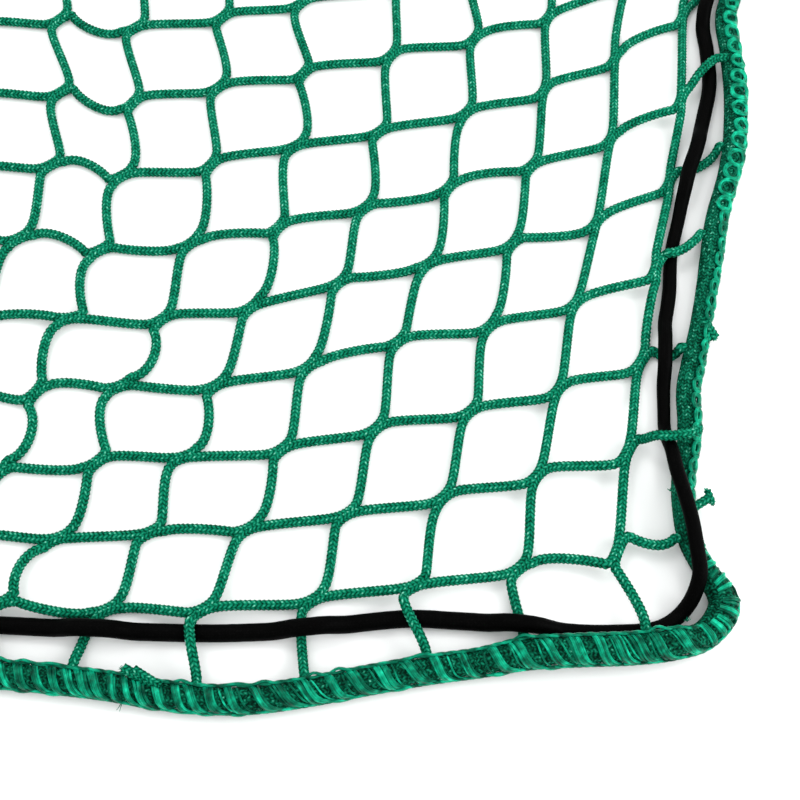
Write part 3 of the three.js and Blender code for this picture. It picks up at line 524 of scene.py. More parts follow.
# An outer bar, from its junction over or under the elastic to the rope
def outerPath(wale, course, side):
    bar = edgeBars[(side, wale, course)]
    end, inward = bar["end"], bar["inward"]
    points = barCurve(wale, course, side, end, inward)
    start = points[0]
    found = cordCrossing(start, end)
    stations = [(0.0, riseOf(wale, course))]
    endHeight = net["rideHeight"] if bar["riding"] else net["endHeight"]
    if found:
        share, along, width, slant = found
        clear = (width / 2 + net["overBarEase"]) / slant / apart(start, end)
        height = 0
        if bar["over"]:
            under = max(cordUnderside(along + k * net["overBarReach"]) for k in (-1, 0, 1))
            height = under + width + net["gap"]
        first, last = net["levelWithin"]
        stations += [(max(share - clear, first), height), (min(share + clear, last), height)]
        if share + clear > net["noRoomBeyond"]:
            endHeight = max(height, endHeight) if bar["over"] else 0
    stations.append((1.0, endHeight))
    steps = net["outerSteps"]
    path = []
    for i in range(steps + 1):
        t = i / steps
        k = max(j for j in range(len(stations)) if stations[j][0] <= t + 1e-9)
        k = min(k, len(stations) - 2)
        (t0, z0), (t1, z1) = stations[k], stations[k + 1]
        x, y = bezier(points, t)
        path.append((x, y, mix(z0, z1, ease((t - t0) / max(t1 - t0, 1e-6)))))
    if not bar["riding"]:
        x, y, z = path[-1]
        path.append((*plus((x, y), inward, -net["endSunk"]), z))
    return path


# The runs of twine of each quarter of the net. A strand is parted in the middle of a bar where it
# passes from a quarter to the next, and the parts meet end to end
quarters = {
    "front_right": (0, 0), "front_left": (1, 0), "back_right": (0, 1), "back_left": (1, 1),
}


def quarterOf(wale, course):
    return (int(wale > net["partedAt"]), int(course > net["partedAt"]))


def strandPoints():
    wales, courses = net["wales"], net["courses"]
    firsts = [("under", w, 0) for w in range(wales)] + [("over", wales - 1, c) for c in range(courses)]
    for kind, wale, course in firsts:
        enter, leave = ("front", "right") if kind == "under" else ("left", "back")
        points = [(p, (wale, course)) for p in reversed(outerPath(wale, course, enter))][:-1]
        while True:
            points += [(p, (wale, course)) for p in hubPath(wale, course, enter, leave)]
            if (leave, wale, course) in edgeBars:
                points += [(p, (wale, course)) for p in outerPath(wale, course, leave)]
                break
            stepWale, stepCourse, _ = neighbour[leave]
            bar = barPath(wale, course, leave)
            there = (wale + stepWale, course + stepCourse)
            half = len(bar) // 2
            points += [(p, (wale, course)) for p in bar[:half]] + [(p, there) for p in bar[half:]]
            wale, course = there
            enter, leave = ("front", "right") if enter == "left" else ("left", "back")
        yield points


def twineRuns():
    runs = {name: [] for name in quarters}
    names = {place: name for name, place in quarters.items()}
    for points in strandPoints():
        along, run, last, previous = chance.uniform(0, net["firstStitch"]), [], None, None
        for (x, y, z), owner in points:
            here = (x, y, z + net["twine"] / 2)
            along += apart(previous or here, here)
            name = names[quarterOf(*owner)]
            if last and name != last:
                run.append((here, along))
                runs[last].append(run)
                run = []
            run.append((here, along))
            previous, last = here, name
        runs[last].append(run)
    return runs


# One node, with its settings and what its inputs are joined to, by name or in their order
def addNode(tree, kind, inputs=(), **settings):
    node = tree.nodes.new(kind)
    for name, value in settings.items():
        setattr(node, name, value)
    for key, value in inputs.items() if isinstance(inputs, dict) else enumerate(inputs):
        source = value.outputs[0] if isinstance(value, bpy.types.Node) else value
        if isinstance(source, bpy.types.NodeSocket):
            tree.links.new(source, node.inputs[key])
        else:
            node.inputs[key].default_value = source
    return node


# The shape of a stitch in a knitted or braided cover
stitchShape = {
    "round": 0.65,        # the power that rounds its crest
    "crown": (0.6, 0.4),  # it stands this much higher in the middle of its column, from this
    "mean": 0.6,          # the height that stays where the line's own surface lies
}


# The stitches, in a mesh's tree or a material's. Rows of slanted stitches run round the cover in
# columns that lean one way and the other, so that they meet in a chain of Vs. Gives the count of the
# row and the column, and how high the stitch stands there, from 0 to 1
def addStitches(tree, along, around, knit):
    known = {"along": along, "around": around}
    for name, operation, *sources in (
            ("column", "MULTIPLY", "around", knit["Columns"]),
            ("across", "PINGPONG", "column", 1.0),
            ("level", "DIVIDE", "along", knit["Stitch"]),
            ("row", "MULTIPLY_ADD", "across", knit["Slant"], "level"),
            ("turn", "MULTIPLY", "row", 2 * math.pi),
            ("wave", "COSINE", "turn"),
            ("lobe", "MULTIPLY_ADD", "wave", -0.5, 0.5),
            ("ridge", "POWER", "lobe", stitchShape["round"]),
            ("bend", "MULTIPLY", "across", math.pi),
            ("crown", "SINE", "bend"),
            ("share", "MULTIPLY_ADD", "crown", *stitchShape["crown"]),
            ("relief", "MULTIPLY", "ridge", "share")):
        inputs = [known[source] if isinstance(source, str) else source for source in sources]
        known[name] = addNode(tree, "ShaderNodeMath", inputs, operation=operation)
    return known["row"], known["column"], known["relief"]


# What the cover's tree is told beside the lines, and the attributes it reads: of the lines, the
# length along them, half their width and their up, and of the tube, its way round and its middle
coverSizes = ("Ring step", "Stitch", "Slant", "Columns", "Depth", "Squash")
coverAttributes = {
    "along": "FLOAT", "half": "FLOAT", "around": "FLOAT", "up": "FLOAT_VECTOR", "centre": "FLOAT_VECTOR",
}


# A cover's tree: a tube of stitches round every line of the object
def makeCoverTree():
    tree = bpy.data.node_groups.new("knitted cover", "GeometryNodeTree")
    kinds = {"Geometry": "Geometry", **dict.fromkeys(coverSizes, "Float")}
    kinds.update({"Sides": "Int", "Finish": "Material"})
    for name, kind in kinds.items():
        tree.interface.new_socket(name, in_out="INPUT", socket_type="NodeSocket" + kind)
    tree.interface.new_socket("Geometry", in_out="OUTPUT", socket_type="NodeSocketGeometry")
    given = addNode(tree, "NodeGroupInput").outputs
    along, half, around, up, centre = [
        addNode(tree, "GeometryNodeInputNamedAttribute", {"Name": name}, data_type=kind)
        for name, kind in coverAttributes.items()]
    place = addNode(tree, "GeometryNodeInputPosition")
    lines = addNode(tree, "GeometryNodeMeshToCurve", {"Mesh": given["Geometry"]})
    even = addNode(tree, "GeometryNodeResampleCurve", {"Curve": lines, "Length": given["Ring step"]},
                   mode="LENGTH")
    level = addNode(tree, "GeometryNodeSetCurveNormal", {"Curve": even}, mode="Z_UP")
    kept = addNode(tree, "GeometryNodeStoreNamedAttribute",
                   {"Geometry": level, "Name": "centre", "Value": place}, data_type="FLOAT_VECTOR")
    ring = addNode(tree, "GeometryNodeCurvePrimitiveCircle", {"Resolution": given["Sides"], "Radius": 1.0},
                   mode="RADIUS")
    factor = addNode(tree, "GeometryNodeSplineParameter").outputs["Factor"]
    marked = addNode(tree, "GeometryNodeStoreNamedAttribute",
                     {"Geometry": ring, "Name": "around", "Value": factor})
    tube = addNode(tree, "GeometryNodeCurveToMesh",
                   {"Curve": kept, "Profile Curve": marked, "Scale": half, "Fill Caps": True})
    relief = addStitches(tree, along, around, given)[2]
    # the stitches stand out from the line's middle, and the section is squashed along its up
    out = addNode(tree, "ShaderNodeVectorMath", [place, centre], operation="SUBTRACT")
    proud = addNode(tree, "ShaderNodeMath", [relief, stitchShape["mean"]], operation="SUBTRACT")
    rise = addNode(tree, "ShaderNodeMath", [proud, given["Depth"]], operation="MULTIPLY")
    growth = addNode(tree, "ShaderNodeMath", [rise, half], operation="DIVIDE")
    grown = addNode(tree, "ShaderNodeVectorMath", {0: out, "Scale": growth}, operation="SCALE")
    height = addNode(tree, "ShaderNodeVectorMath", [out, up], operation="DOT_PRODUCT").outputs["Value"]
    squash = addNode(tree, "ShaderNodeMath", [given["Squash"], 1.0], operation="SUBTRACT")
    loss = addNode(tree, "ShaderNodeMath", [height, squash], operation="MULTIPLY")
    flatter = addNode(tree, "ShaderNodeVectorMath", {0: up, "Scale": loss}, operation="SCALE")
    offset = addNode(tree, "ShaderNodeVectorMath", [grown, flatter], operation="ADD")
    moved = addNode(tree, "GeometryNodeSetPosition", {"Geometry": tube, "Offset": offset})
    # the face that closes a ring counts its far corners, which fall below its mean, as 1 and not 0
    closingFall = 0.2
    faceMean = addNode(tree, "GeometryNodeFieldOnDomain", [around], data_type="FLOAT", domain="FACE")
    ahead = addNode(tree, "ShaderNodeMath", [faceMean, around], operation="SUBTRACT")
    closing = addNode(tree, "ShaderNodeMath", [ahead, closingFall], operation="GREATER_THAN")
    whole = addNode(tree, "ShaderNodeMath", [around, closing], operation="ADD")
    uv = addNode(tree, "ShaderNodeCombineXYZ", [along, whole])
    mapped = addNode(tree, "GeometryNodeStoreNamedAttribute",
                     {"Geometry": moved, "Name": "UVMap", "Value": uv},
                     data_type="FLOAT2", domain="CORNER")
    smooth = addNode(tree, "GeometryNodeSetShadeSmooth", {"Geometry": mapped, "Shade Smooth": True})
    real = addNode(tree, "GeometryNodeRealizeInstances", {"Geometry": smooth})
    done = addNode(tree, "GeometryNodeSetMaterial", {"Geometry": real, "Material": given["Finish"]})
    addNode(tree, "NodeGroupOutput", [done])
    return tree


coverTree = makeCoverTree()


# A new object of lines. Each line is a list of (point in mm, length along in mm, half width in mm,
# up), and a closed line joins its last point to its first
def lineObject(name, lines, closed=False):
    points, edges, along, half, up = [], [], [], [], []
    for line in lines:
        first = len(points)
        for point, length, width, direction in line:
            points.append(toMetres(point))
            along.append(length * mm)
            half.append(width * mm)
            up += direction
        count = len(line)
        edges += [(first + i, first + i + 1) for i in range(count - 1)]
        if closed:
            edges.append((first + count - 1, first))
    mesh = bpy.data.meshes.new(name)
    mesh.from_pydata(points, edges, [])
    for key, kind, values in (("along", "value", along), ("half", "value", half), ("up", "vector", up)):
        mesh.attributes.new(key, coverAttributes[key], "POINT").data.foreach_set(kind, values)
    return addObject(name, mesh)


# Runs the cover's tree on an object of lines and keeps the result as a plain mesh
def cover(obj, sizes):
    modifier = obj.modifiers.new("cover", "NODES")
    modifier.node_group = coverTree
    identifiers = {item.name: item.identifier for item in coverTree.interface.items_tree
                   if item.item_type == "SOCKET" and item.in_out == "INPUT"}
    for name, value in sizes.items():
        modifier[identifiers[name]] = value
    graph = bpy.context.evaluated_depsgraph_get()
    mesh = bpy.data.meshes.new_from_object(obj.evaluated_get(graph), depsgraph=graph)
    obj.modifiers.remove(modifier)
    lines = obj.data
    obj.data = mesh
    bpy.data.meshes.remove(lines)
    mesh.name = obj.name
    print(obj.name, "has", sum(len(face.vertices) - 2 for face in mesh.polygons), "triangles")
    return obj


def linear(code):
    channels = [int(code[i:i + 2], 16) / 255 for i in (1, 3, 5)]
    return [c / 12.92 if c <= 0.04045 else ((c + 0.055) / 1.055) ** 2.4 for c in channels] + [1.0]


def newMaterial(name):
    material = bpy.data.materials.new(name)
    material.use_nodes = True
    tree = material.node_tree
    tree.nodes.clear()
    shader = addNode(tree, "ShaderNodeBsdfPrincipled")
    addNode(tree, "ShaderNodeOutputMaterial", {"Surface": shader})
    return material, tree, shader


# A colour ramp with a stop for each (place, colour)
def addRamp(tree, factor, stops):
    ramp = addNode(tree, "ShaderNodeValToRGB", {"Fac": factor})
    elements = ramp.color_ramp.elements
    elements[1].position = 1.0
    for _ in stops[2:]:
        elements.new(elements[1].position)
    for element, (place, colour) in zip(elements, stops):
        element.position = place
        element.color = linear(colour)
    return ramp


# The length along and round a cover, and the place in the piece
def surfaceAndPlace(tree):
    surface = addNode(tree, "ShaderNodeSeparateXYZ", [addNode(tree, "ShaderNodeUVMap", uv_map="UVMap")])
    return surface, addNode(tree, "ShaderNodeTexCoord").outputs["Object"]


# Colours a shader by a shade from 0 to 1, gives it a relief, and sets what the finish says of it
def finishShader(tree, shader, shade, height, finish):
    tree.links.new(addRamp(tree, shade, finish["stops"]).outputs[0], shader.inputs["Base Color"])
    bump = addNode(tree, "ShaderNodeBump",
                   {"Height": height, "Strength": finish["strength"], "Distance": finish["bump"]})
    tree.links.new(bump.outputs[0], shader.inputs["Normal"])
    shader.inputs["Roughness"].default_value = finish["roughness"]
    shader.inputs["Specular IOR Level"].default_value = finish["gloss"]


# Multifilament polypropylene yarn, knitted: a dull green. Its colour is made lighter on the stitches'
# crests, a painted highlight, and nearly black in the gaps between them, painted shade. No two stitches
# lie alike, so their tone varies
twineFinish = {
    "stops": [(0.05, "#001D10"), (0.3, "#00513A"), (0.55, "#067051"), (0.8, "#1A8B6B"), (1.0, "#8AD0BB")],
    "roughness": 0.6, "gloss": 0.02,
    "fleck": 0.55 * mm,  # size of the light and dark specks within a stitch
    "slip": 0.5 * mm,    # how far a stitch may lie off its row
    "slipSize": 1.6 * mm,
    "patch": 14 * mm,  # size of the lighter and darker stretches
    "relief": 0.62, "base": 0.16, "stitchTone": 0.3, "fleckTone": 0.5, "patchTone": 0.12,
    "bump": 0.12 * mm, "strength": 0.8,
    "lighter": 0.0, "paintedLightFrom": 0.0, "paintedLightWithin": 10 * mm,
}
# the stitches follow the photographed net's: about 1.3 mm along the twine and 1.2 mm wide
twineKnit = {
    "Ring step": 0.4 * mm, "Sides": 16, "Stitch": 1.35 * mm, "Columns": 8.0, "Slant": 0.65,
    "Depth": 0.32 * mm, "Squash": 1.0,
}


# The stitches in a material, worked out as the cover's tree does it, with what is finer than them
def makeYarnMaterial(name, finish, knit):
    material, tree, shader = newMaterial(name)
    surface, place = surfaceAndPlace(tree)
    loose = addNode(tree, "ShaderNodeTexNoise", {"Vector": place, "Scale": 1 / finish["slipSize"]})
    slip = addNode(tree, "ShaderNodeMath", [loose, finish["slip"], surface], operation="MULTIPLY_ADD")
    row, column, relief = addStitches(tree, slip, surface.outputs[1], knit)
    wholeRow = addNode(tree, "ShaderNodeMath", [row], operation="FLOOR")
    wholeColumn = addNode(tree, "ShaderNodeMath", [column], operation="FLOOR")
    stitch = addNode(tree, "ShaderNodeCombineXYZ", [wholeRow, wholeColumn])
    tone = addNode(tree, "ShaderNodeTexWhiteNoise", {"Vector": stitch}, noise_dimensions="2D")
    flecks = addNode(tree, "ShaderNodeTexNoise",
                     {"Vector": place, "Scale": 1 / finish["fleck"], "Detail": 1.0})
    patches = addNode(tree, "ShaderNodeTexNoise",
                      {"Vector": place, "Scale": 1 / finish["patch"], "Detail": 1.0})
    # painted highlight and painted shade: the colour follows the stitches' height, lighter on their crests
    # and darker in the gaps
    shade = addNode(tree, "ShaderNodeMath", [relief, finish["relief"], finish["base"]],
                    operation="MULTIPLY_ADD")
    for source, share in ((tone, "stitchTone"), (flecks, "fleckTone"), (patches, "patchTone")):
        centred = addNode(tree, "ShaderNodeMath", [source, 0.5], operation="SUBTRACT")
        shade = addNode(tree, "ShaderNodeMath", [centred, finish[share], shade], operation="MULTIPLY_ADD")
    # painted light: the shade is raised by a ramp on the piece's own y, so that the part of the piece
    # further north comes out lighter, where more light falls
    if finish["lighter"]:
        north = addNode(tree, "ShaderNodeSeparateXYZ", [place]).outputs[1]
        start, end = finish["paintedLightFrom"], finish["paintedLightFrom"] + finish["paintedLightWithin"]
        side = addNode(tree, "ShaderNodeMapRange", [north, start, end, 0.0, finish["lighter"]])
        shade = addNode(tree, "ShaderNodeMath", [shade, side], operation="ADD")
    finishShader(tree, shader, shade, shade, finish)
    return material


twineKnit["Finish"] = makeYarnMaterial("knitted polypropylene twine", twineFinish, twineKnit)
upwards = (0.0, 0.0, 1.0)


def makeNet():
    pieces = []
    half = net["twine"] / 2
    for name, runs in twineRuns().items():
        lines = [[(point, along, half, upwards) for point, along in run] for run in runs]
        pieces.append(cover(lineObject("net_" + name, lines), twineKnit))
    return pieces


netPieces = makeNet()
print("net done")

# border rope: a knitted core, wrapped in bundles of glossy thread that are sewn down along a line
# on its inner side or its top and a line on its outer side
ropeSection = {
    "heightShare": 0.93,
    "spacing": 1.2,
    "coreShrink": 0.95,  # the core's surface lies this far within the rope's
    "openFrom": -56,     # x, mm in the tables, where the bundles of the front lie apart
    "cornerFrom": 85,    # x where the ribs of the front right corner start
    "cornerTo": -49,     # y where they end
    "wideFrom": 62,      # y from where the cells of the right side are wide
}
# the core's colours are darker than the twine's: partly the knit's own colour, partly painted shade, for
# the core that lies in shadow under and between the bundles
coreFinish = dict(
    twineFinish,
    stops=[(0.05, "#00170E"), (0.3, "#013A28"), (0.55, "#05573F"), (0.8, "#127458"), (1.0, "#6FBBA4")],
    relief=0.45, base=0.12, stitchTone=0.4, fleckTone=1.0,
    slip=1.5 * mm, slipSize=2.4 * mm, fleck=0.75 * mm,
    lighter=0.12, paintedLightFrom=-130 * mm,  # painted light: up the right side, behind the front corner, the core's colour is made lighter, where more light falls on it
)
coreKnit = {
    "Ring step": 0.65 * mm, "Sides": 24, "Stitch": 1.2 * mm, "Columns": 22.0, "Slant": 0.6,
    "Depth": 0.25 * mm, "Squash": ropeSection["heightShare"],
}
coreKnit["Finish"] = makeYarnMaterial("knitted rope core", coreFinish, coreKnit)


# Covers a closed line all round. The section gives half its width there and its middle's height
def coverRound(name, path, spacing, section, knit):
    count = int(path.total / spacing)
    line = []
    for i in range(count):
        along = path.total * i / count
        place, _, width, rise = path.at(along)
        half, height = section(along, width, rise)
        line.append(((*place, height), along, half, upwards))
    return cover(lineObject(name, [line], closed=True), knit)


def coreSection(_, width, rise):
    return width / 2 - ropeSection["coreShrink"], rise + width / 2 * ropeSection["heightShare"]


# A point of the rope's surface at a length along it, and its outward direction. The angle runs from
# the rope's inner side over its top, and proud is how far the point stands off the core
def onRope(along, angle, proud):
    place, heading, width, rise = rope.at(along)
    half = width / 2 - ropeSection["coreShrink"] + proud
    turn = math.radians(angle)
    out = leftOf(heading)
    x, y = plus(place, out, math.cos(turn) * half)
    z = rise + (width / 2 + math.sin(turn) * half) * ropeSection["heightShare"]
    return (x, y, z), (out[0] * math.cos(turn), out[1] * math.cos(turn), math.sin(turn))


# How each kind of stretch is sewn: the angles of its inner and outer lines, how far the inner line
# stands off the core, the bundles' spacing, how far a bundle leans along the rope, its threads, how
# far they spread in its middle, the share of that at its inner and its outer end, and how far its
# outer end sweeps on along the rope. Where they spread more at the ends, they leave oval cells between
# them, which single threads may cross
sewing = {
    "close": {"inner": 34, "outer": 190, "line": 0.6, "pitch": 4.3, "lean": 3.9, "threads": 4,
              "strays": 0, "thick": 1.0, "spread": 1.6, "flare": 1.5, "gather": 1.6, "sweep": 1.0},
    "open": {"inner": 34, "outer": 190, "line": 0.6, "pitch": 7.0, "lean": 3.4, "threads": 4,
             "strays": 1, "thick": 1.1, "spread": 1.9, "flare": 1.3, "gather": 2.4, "sweep": 2.4},
    "corner": {"inner": 74, "outer": 190, "line": -0.9, "pitch": 2.8, "lean": 0.6, "threads": 3,
               "strays": 0, "thick": 1.15, "spread": 0.8, "flare": 1.0, "gather": 1.2, "sweep": 0},
    "plain": {"inner": 34, "outer": 190, "line": 0.6, "pitch": 7.0, "lean": 3.9, "threads": 4,
              "strays": 0, "thick": 1.05, "spread": 2.2, "flare": 1.5, "gather": 1.5, "sweep": 0},
}
# Up the right side the threads lie in rings round oval cells instead: the angle of a cell's middle, half
# its pit along the rope and round it, how far each ring stands out from the last along the rope and round
# it, how far its middle lies further round, and the mark that its threads' colour goes by. The marks are
# picked so that the walls come out light: partly the thread's own colour, partly painted light, for the
# glossy, well lit walls of the right side
cells = {
    "wide": {"inner": 80, "outer": 168, "line": -0.9, "pitch": 5.9, "middle": 106, "pitAlong": 1.9,
             "pitAround": 28, "rings": 3, "growAlong": 0.6, "growAround": 10, "shift": 6, "thick": 1.15,
             "mark": 3},
    "narrow": {"inner": 120, "outer": 166, "line": -0.9, "pitch": 5.2, "middle": 126, "pitAlong": 1.3,
               "pitAround": 13, "rings": 3, "growAlong": 0.75, "growAround": 9, "shift": 8, "thick": 1.2,
               "mark": 7},
}
ring = {
    "proud": 0.9,   # its middle off the core
    "low": 0.25,    # the share of that which the innermost ring has
    "uneven": 0.2,  # how far it strays
    "waves": 3,     # how often it strays on its way round
    "pitShadeMark": 4,  # the mark of the innermost ring, which gives it a dark colour: painted shade in the cell's pit
    "steps": 14,
    # the ranges that its sizes vary within, from ring to ring
    "sizes": (0.6, 1.15), "angles": (-7, 7), "thicks": (0.85, 1.15), "pitches": (0.85, 1.15),
}
bundle = {
    "proud": 0.8,      # its middle off the core, half-way along the bundle
    "sunk": 0.1,       # its inner end into the core
    "seated": 0.25,    # its outer end off the core
    "crown": 0.45,     # the outer threads of a bundle lie this much lower
    "uneven": 0.22,    # how far a thread strays to either side
    "stray": 0.5,      # a single thread's thickness, as a share of the others'
    "endThick": 0.75,  # and every thread's at its ends, as a share of its middle's
    "arch": 0.6,       # the power that flattens its arch over the core
    "rim": 0.03,       # share of its length at each end that stays down
    "late": 4,         # the power that keeps its sweep near its outer end
    "spare": 2,        # none starts closer than this to the point where the rope closes
    "steps": 9,
    # the ranges that its sizes vary within, from bundle to bundle
    "angles": (-6, 6), "leans": (-1.2, 1.2), "heights": (-0.3, 0.15), "spreads": (0.7, 1.3),
    "pitches": (0.75, 1.25), "lower": (0, 0.15), "thicks": (0.8, 1.15),
    "strayPlaces": (0.25, 0.75), "strayLeans": (-2, 2), "strayHeights": (0, 0.2),
}
threadCover = {
    "Ring step": 1.0 * mm, "Sides": 6, "Stitch": 1.0 * mm, "Columns": 0.0, "Slant": 0.0,
    "Depth": 0.0, "Squash": 0.85,
}
# each thread's length is counted from its own mark, so that a material can tell threads apart
threadMark = 2000


def sewingAt(along):
    sample = rope.samples[bisect.bisect_right(rope.starts, along % rope.total) - 1]
    x, y = plus(sample[:2], net["middle"])
    if sample[4] == "right" and y > ropeSection["cornerTo"]:
        return cells["wide" if y > ropeSection["wideFrom"] else "narrow"]
    if sample[4] == "front" and x < ropeSection["cornerFrom"]:
        return sewing["open" if x > ropeSection["openFrom"] else "close"]
    return sewing["corner" if x > 0 > y else "plain"]


# A value of the sewing table, which changes slowly from one kind of stretch to the next
def slowly(along, column):
    ways = (-6, -4, -2, 0, 2, 4, 6)
    return sum(sewingAt(along + way)[column] for way in ways) / len(ways)


# A thread through spots on the rope: for each its length along, angle, height and half width
def threadThrough(spots, mark):
    line, length, last = [], mark * threadMark, None
    for along, angle, proud, half in spots:
        point, up = onRope(along, angle, proud)
        length += apart(last or point, point)
        line.append((point, length, half, up))
        last = point
    return line


def threadLine(along, ends, kind, aside, proud, thick, mark):
    spots = []
    for i in range(bundle["steps"] + 1):
        t = i / bundle["steps"]
        arch = math.sin(math.pi * min(max(t, bundle["rim"]), 1 - bundle["rim"])) ** bundle["arch"]
        fan = aside * mix(mix(kind["flare"], kind["gather"], t), 1, arch)
        height = mix(mix(-bundle["sunk"], bundle["seated"], t), proud, arch)
        shift = kind["lean"] * (t - 0.5) + kind["sweep"] * t ** bundle["late"]
        half = thick / 2 * mix(bundle["endThick"], 1, arch)
        spots.append((along + shift + fan, mix(*ends, t), height, half))
    return threadThrough(spots, mark)


# The rings of thread round one cell: the innermost is low and coloured dark, painted shade in the pit, the
# others are its wall
def cellRings(along, kind, dice):
    lines = []
    middle = kind["middle"] + dice.uniform(*ring["angles"])
    size = dice.uniform(*ring["sizes"])
    for k in range(kind["rings"]):
        halfAlong = kind["pitAlong"] * size + k * kind["growAlong"]
        halfAround = kind["pitAround"] * size + k * kind["growAround"]
        proud = ring["proud"] * (1 if k else ring["low"])
        start = dice.uniform(0, 2 * math.pi)
        thick = kind["thick"] * dice.uniform(*ring["thicks"])
        spots = []
        for i in range(ring["steps"] + 1):
            turn = start + 2 * math.pi * i / ring["steps"]
            stray = ring["uneven"] * math.sin(ring["waves"] * turn + start)
            angle = middle + k * kind["shift"] + halfAround * math.sin(turn)
            spots.append((along + halfAlong * math.cos(turn) + stray, angle, proud + stray, thick / 2))
        # the innermost ring's dark colour is painted shade
        lines.append(threadThrough(spots, kind["mark"] if k else ring["pitShadeMark"]))
    return lines


def bundleLines():
    dice = random.Random(21)
    lines = []
    along = 0.0
    while along < rope.total - bundle["spare"]:
        if "rings" in sewingAt(along):
            lines += cellRings(along, sewingAt(along), dice)
            along += sewingAt(along)["pitch"] * dice.uniform(*ring["pitches"])
            continue
        kind = dict(sewingAt(along))
        ends = [slowly(along, line) + dice.uniform(*bundle["angles"]) for line in ("inner", "outer")]
        kind["lean"] += dice.uniform(*bundle["leans"])
        proud = bundle["proud"] + dice.uniform(*bundle["heights"])
        spread = kind["spread"] * dice.uniform(*bundle["spreads"])
        step = kind["pitch"] * dice.uniform(*bundle["pitches"])
        count = kind["threads"]
        for k in range(count):
            share = k / (count - 1) - 0.5
            lower = bundle["crown"] * (2 * share) ** 2 + dice.uniform(*bundle["lower"])
            aside = share * spread + dice.uniform(-bundle["uneven"], bundle["uneven"])
            thick = kind["thick"] * dice.uniform(*bundle["thicks"])
            lines.append(threadLine(along, ends, kind, aside, proud - lower, thick, len(lines)))
        # single threads cross the cell that follows, close to the core
        for _ in range(kind["strays"]):
            aside = step * dice.uniform(*bundle["strayPlaces"])
            thick = kind["thick"] * bundle["stray"]
            lean = kind["lean"] + dice.uniform(*bundle["strayLeans"])
            single = dict(kind, lean=lean, flare=1, gather=1)
            height = dice.uniform(*bundle["strayHeights"])
            lines.append(threadLine(along, ends, single, aside, height, thick, len(lines)))
        along += step
    return lines


# The sewing lines: strands of thread along the inner and the outer line. Here and there a strand is
# lifted off the rope, and the floor shows through the slit. The last strand of a line stays down
sewingLines = [
    {"line": "inner", "strands": 2, "swing": 5, "lift": 0.9, "lifted": 0.3},
    {"line": "outer", "strands": 3, "swing": 9, "lift": 0.5, "lifted": 0.14},
]
sewingLine = {"outerProud": 0.5, "sway": 0.15, "thick": 1.0, "step": 0.95, "turn": 6.5, "slit": 7.5}


def sewingLineRuns():
    dice = random.Random(5)
    lines = []
    count = int(rope.total / sewingLine["step"])
    turns = round(rope.total / sewingLine["turn"])
    slits = round(rope.total / sewingLine["slit"])
    for kind in sewingLines:
        for strand in range(kind["strands"]):
            phase = strand / kind["strands"]
            odds = kind["lifted"] if strand < kind["strands"] - 1 else 0
            lifts = [kind["lift"] if dice.random() < odds else 0 for _ in range(slits)]
            lifts = [lift if sewingAt(rope.total * (i + 0.5) / slits)["line"] > 0 else 0
                     for i, lift in enumerate(lifts)]
            spots = []
            for i in range(count):
                share = i / count
                along = rope.total * share
                wave = 2 * math.pi * (share * turns + phase)
                angle = slowly(along, kind["line"]) + kind["swing"] * math.sin(wave)
                proud = slowly(along, "line") if kind["line"] == "inner" else sewingLine["outerProud"]
                slit = share * slits
                proud += lifts[int(slit)] * math.sin(math.pi * (slit % 1)) ** 2
                proud += sewingLine["sway"] * math.cos(wave)
                spots.append((along, angle, proud, sewingLine["thick"] / 2))
            lines.append(threadThrough(spots, len(lines)))
    return lines


# Polypropylene film tape, slit and wound into thread: light green and glossy, with fine lines along
# it. One thread is lighter than the next
threadFinish = {
    "stops": [(0.2, "#003022"), (0.45, "#036349"), (0.65, "#079470"), (0.85, "#19C79C")],
    "roughness": 0.28, "gloss": 0.05, "lines": 5, "lineTone": 0.06, "threadTone": 0.34,
    "patch": 2.6 * mm, "bump": 0.05 * mm, "strength": 0.5,
}


def makeThreadMaterial(name, finish):
    material, tree, shader = newMaterial(name)
    surface, place = surfaceAndPlace(tree)
    turn = addNode(tree, "ShaderNodeMath", [surface.outputs[1], finish["lines"] * 2 * math.pi],
                   operation="MULTIPLY")
    wave = addNode(tree, "ShaderNodeMath", [turn], operation="SINE")
    count = addNode(tree, "ShaderNodeMath", [surface.outputs[0], threadMark * mm], operation="DIVIDE")
    thread = addNode(tree, "ShaderNodeMath", [count], operation="FLOOR")
    lot = addNode(tree, "ShaderNodeTexWhiteNoise", {"W": thread}, noise_dimensions="1D")
    patches = addNode(tree, "ShaderNodeTexNoise",
                      {"Vector": place, "Scale": 1 / finish["patch"], "Detail": 3.0})
    tone = addNode(tree, "ShaderNodeMath", [wave, finish["lineTone"], patches], operation="MULTIPLY_ADD")
    centred = addNode(tree, "ShaderNodeMath", [lot, 0.5], operation="SUBTRACT")
    tone = addNode(tree, "ShaderNodeMath", [centred, finish["threadTone"], tone],
                   operation="MULTIPLY_ADD")
    finishShader(tree, shader, tone, wave, finish)
    return material


threadCover["Finish"] = makeThreadMaterial("glossy film thread", threadFinish)

# Cut ends of twine that stand out of the rope, from and to x, y and z in the tables' mm
stubTable = [
    {"from": (-68.6, -88.5, 6), "to": (-77.2, -84.2, 8), "width": 3.0},
    {"from": (-66.6, -89, 7), "to": (-74.1, -84.6, 8.6), "width": 2.6},
    {"from": (94.5, 25, 5), "to": (98.2, 18.8, 3.8), "width": 3.4},
    {"from": (85, -37.5, 4.5), "to": (91.5, -33.6, 5.2), "width": 2.8},
    {"from": (91.1, -31.2, 5.2), "to": (92.5, -35, 4.6), "width": 2.1},
]
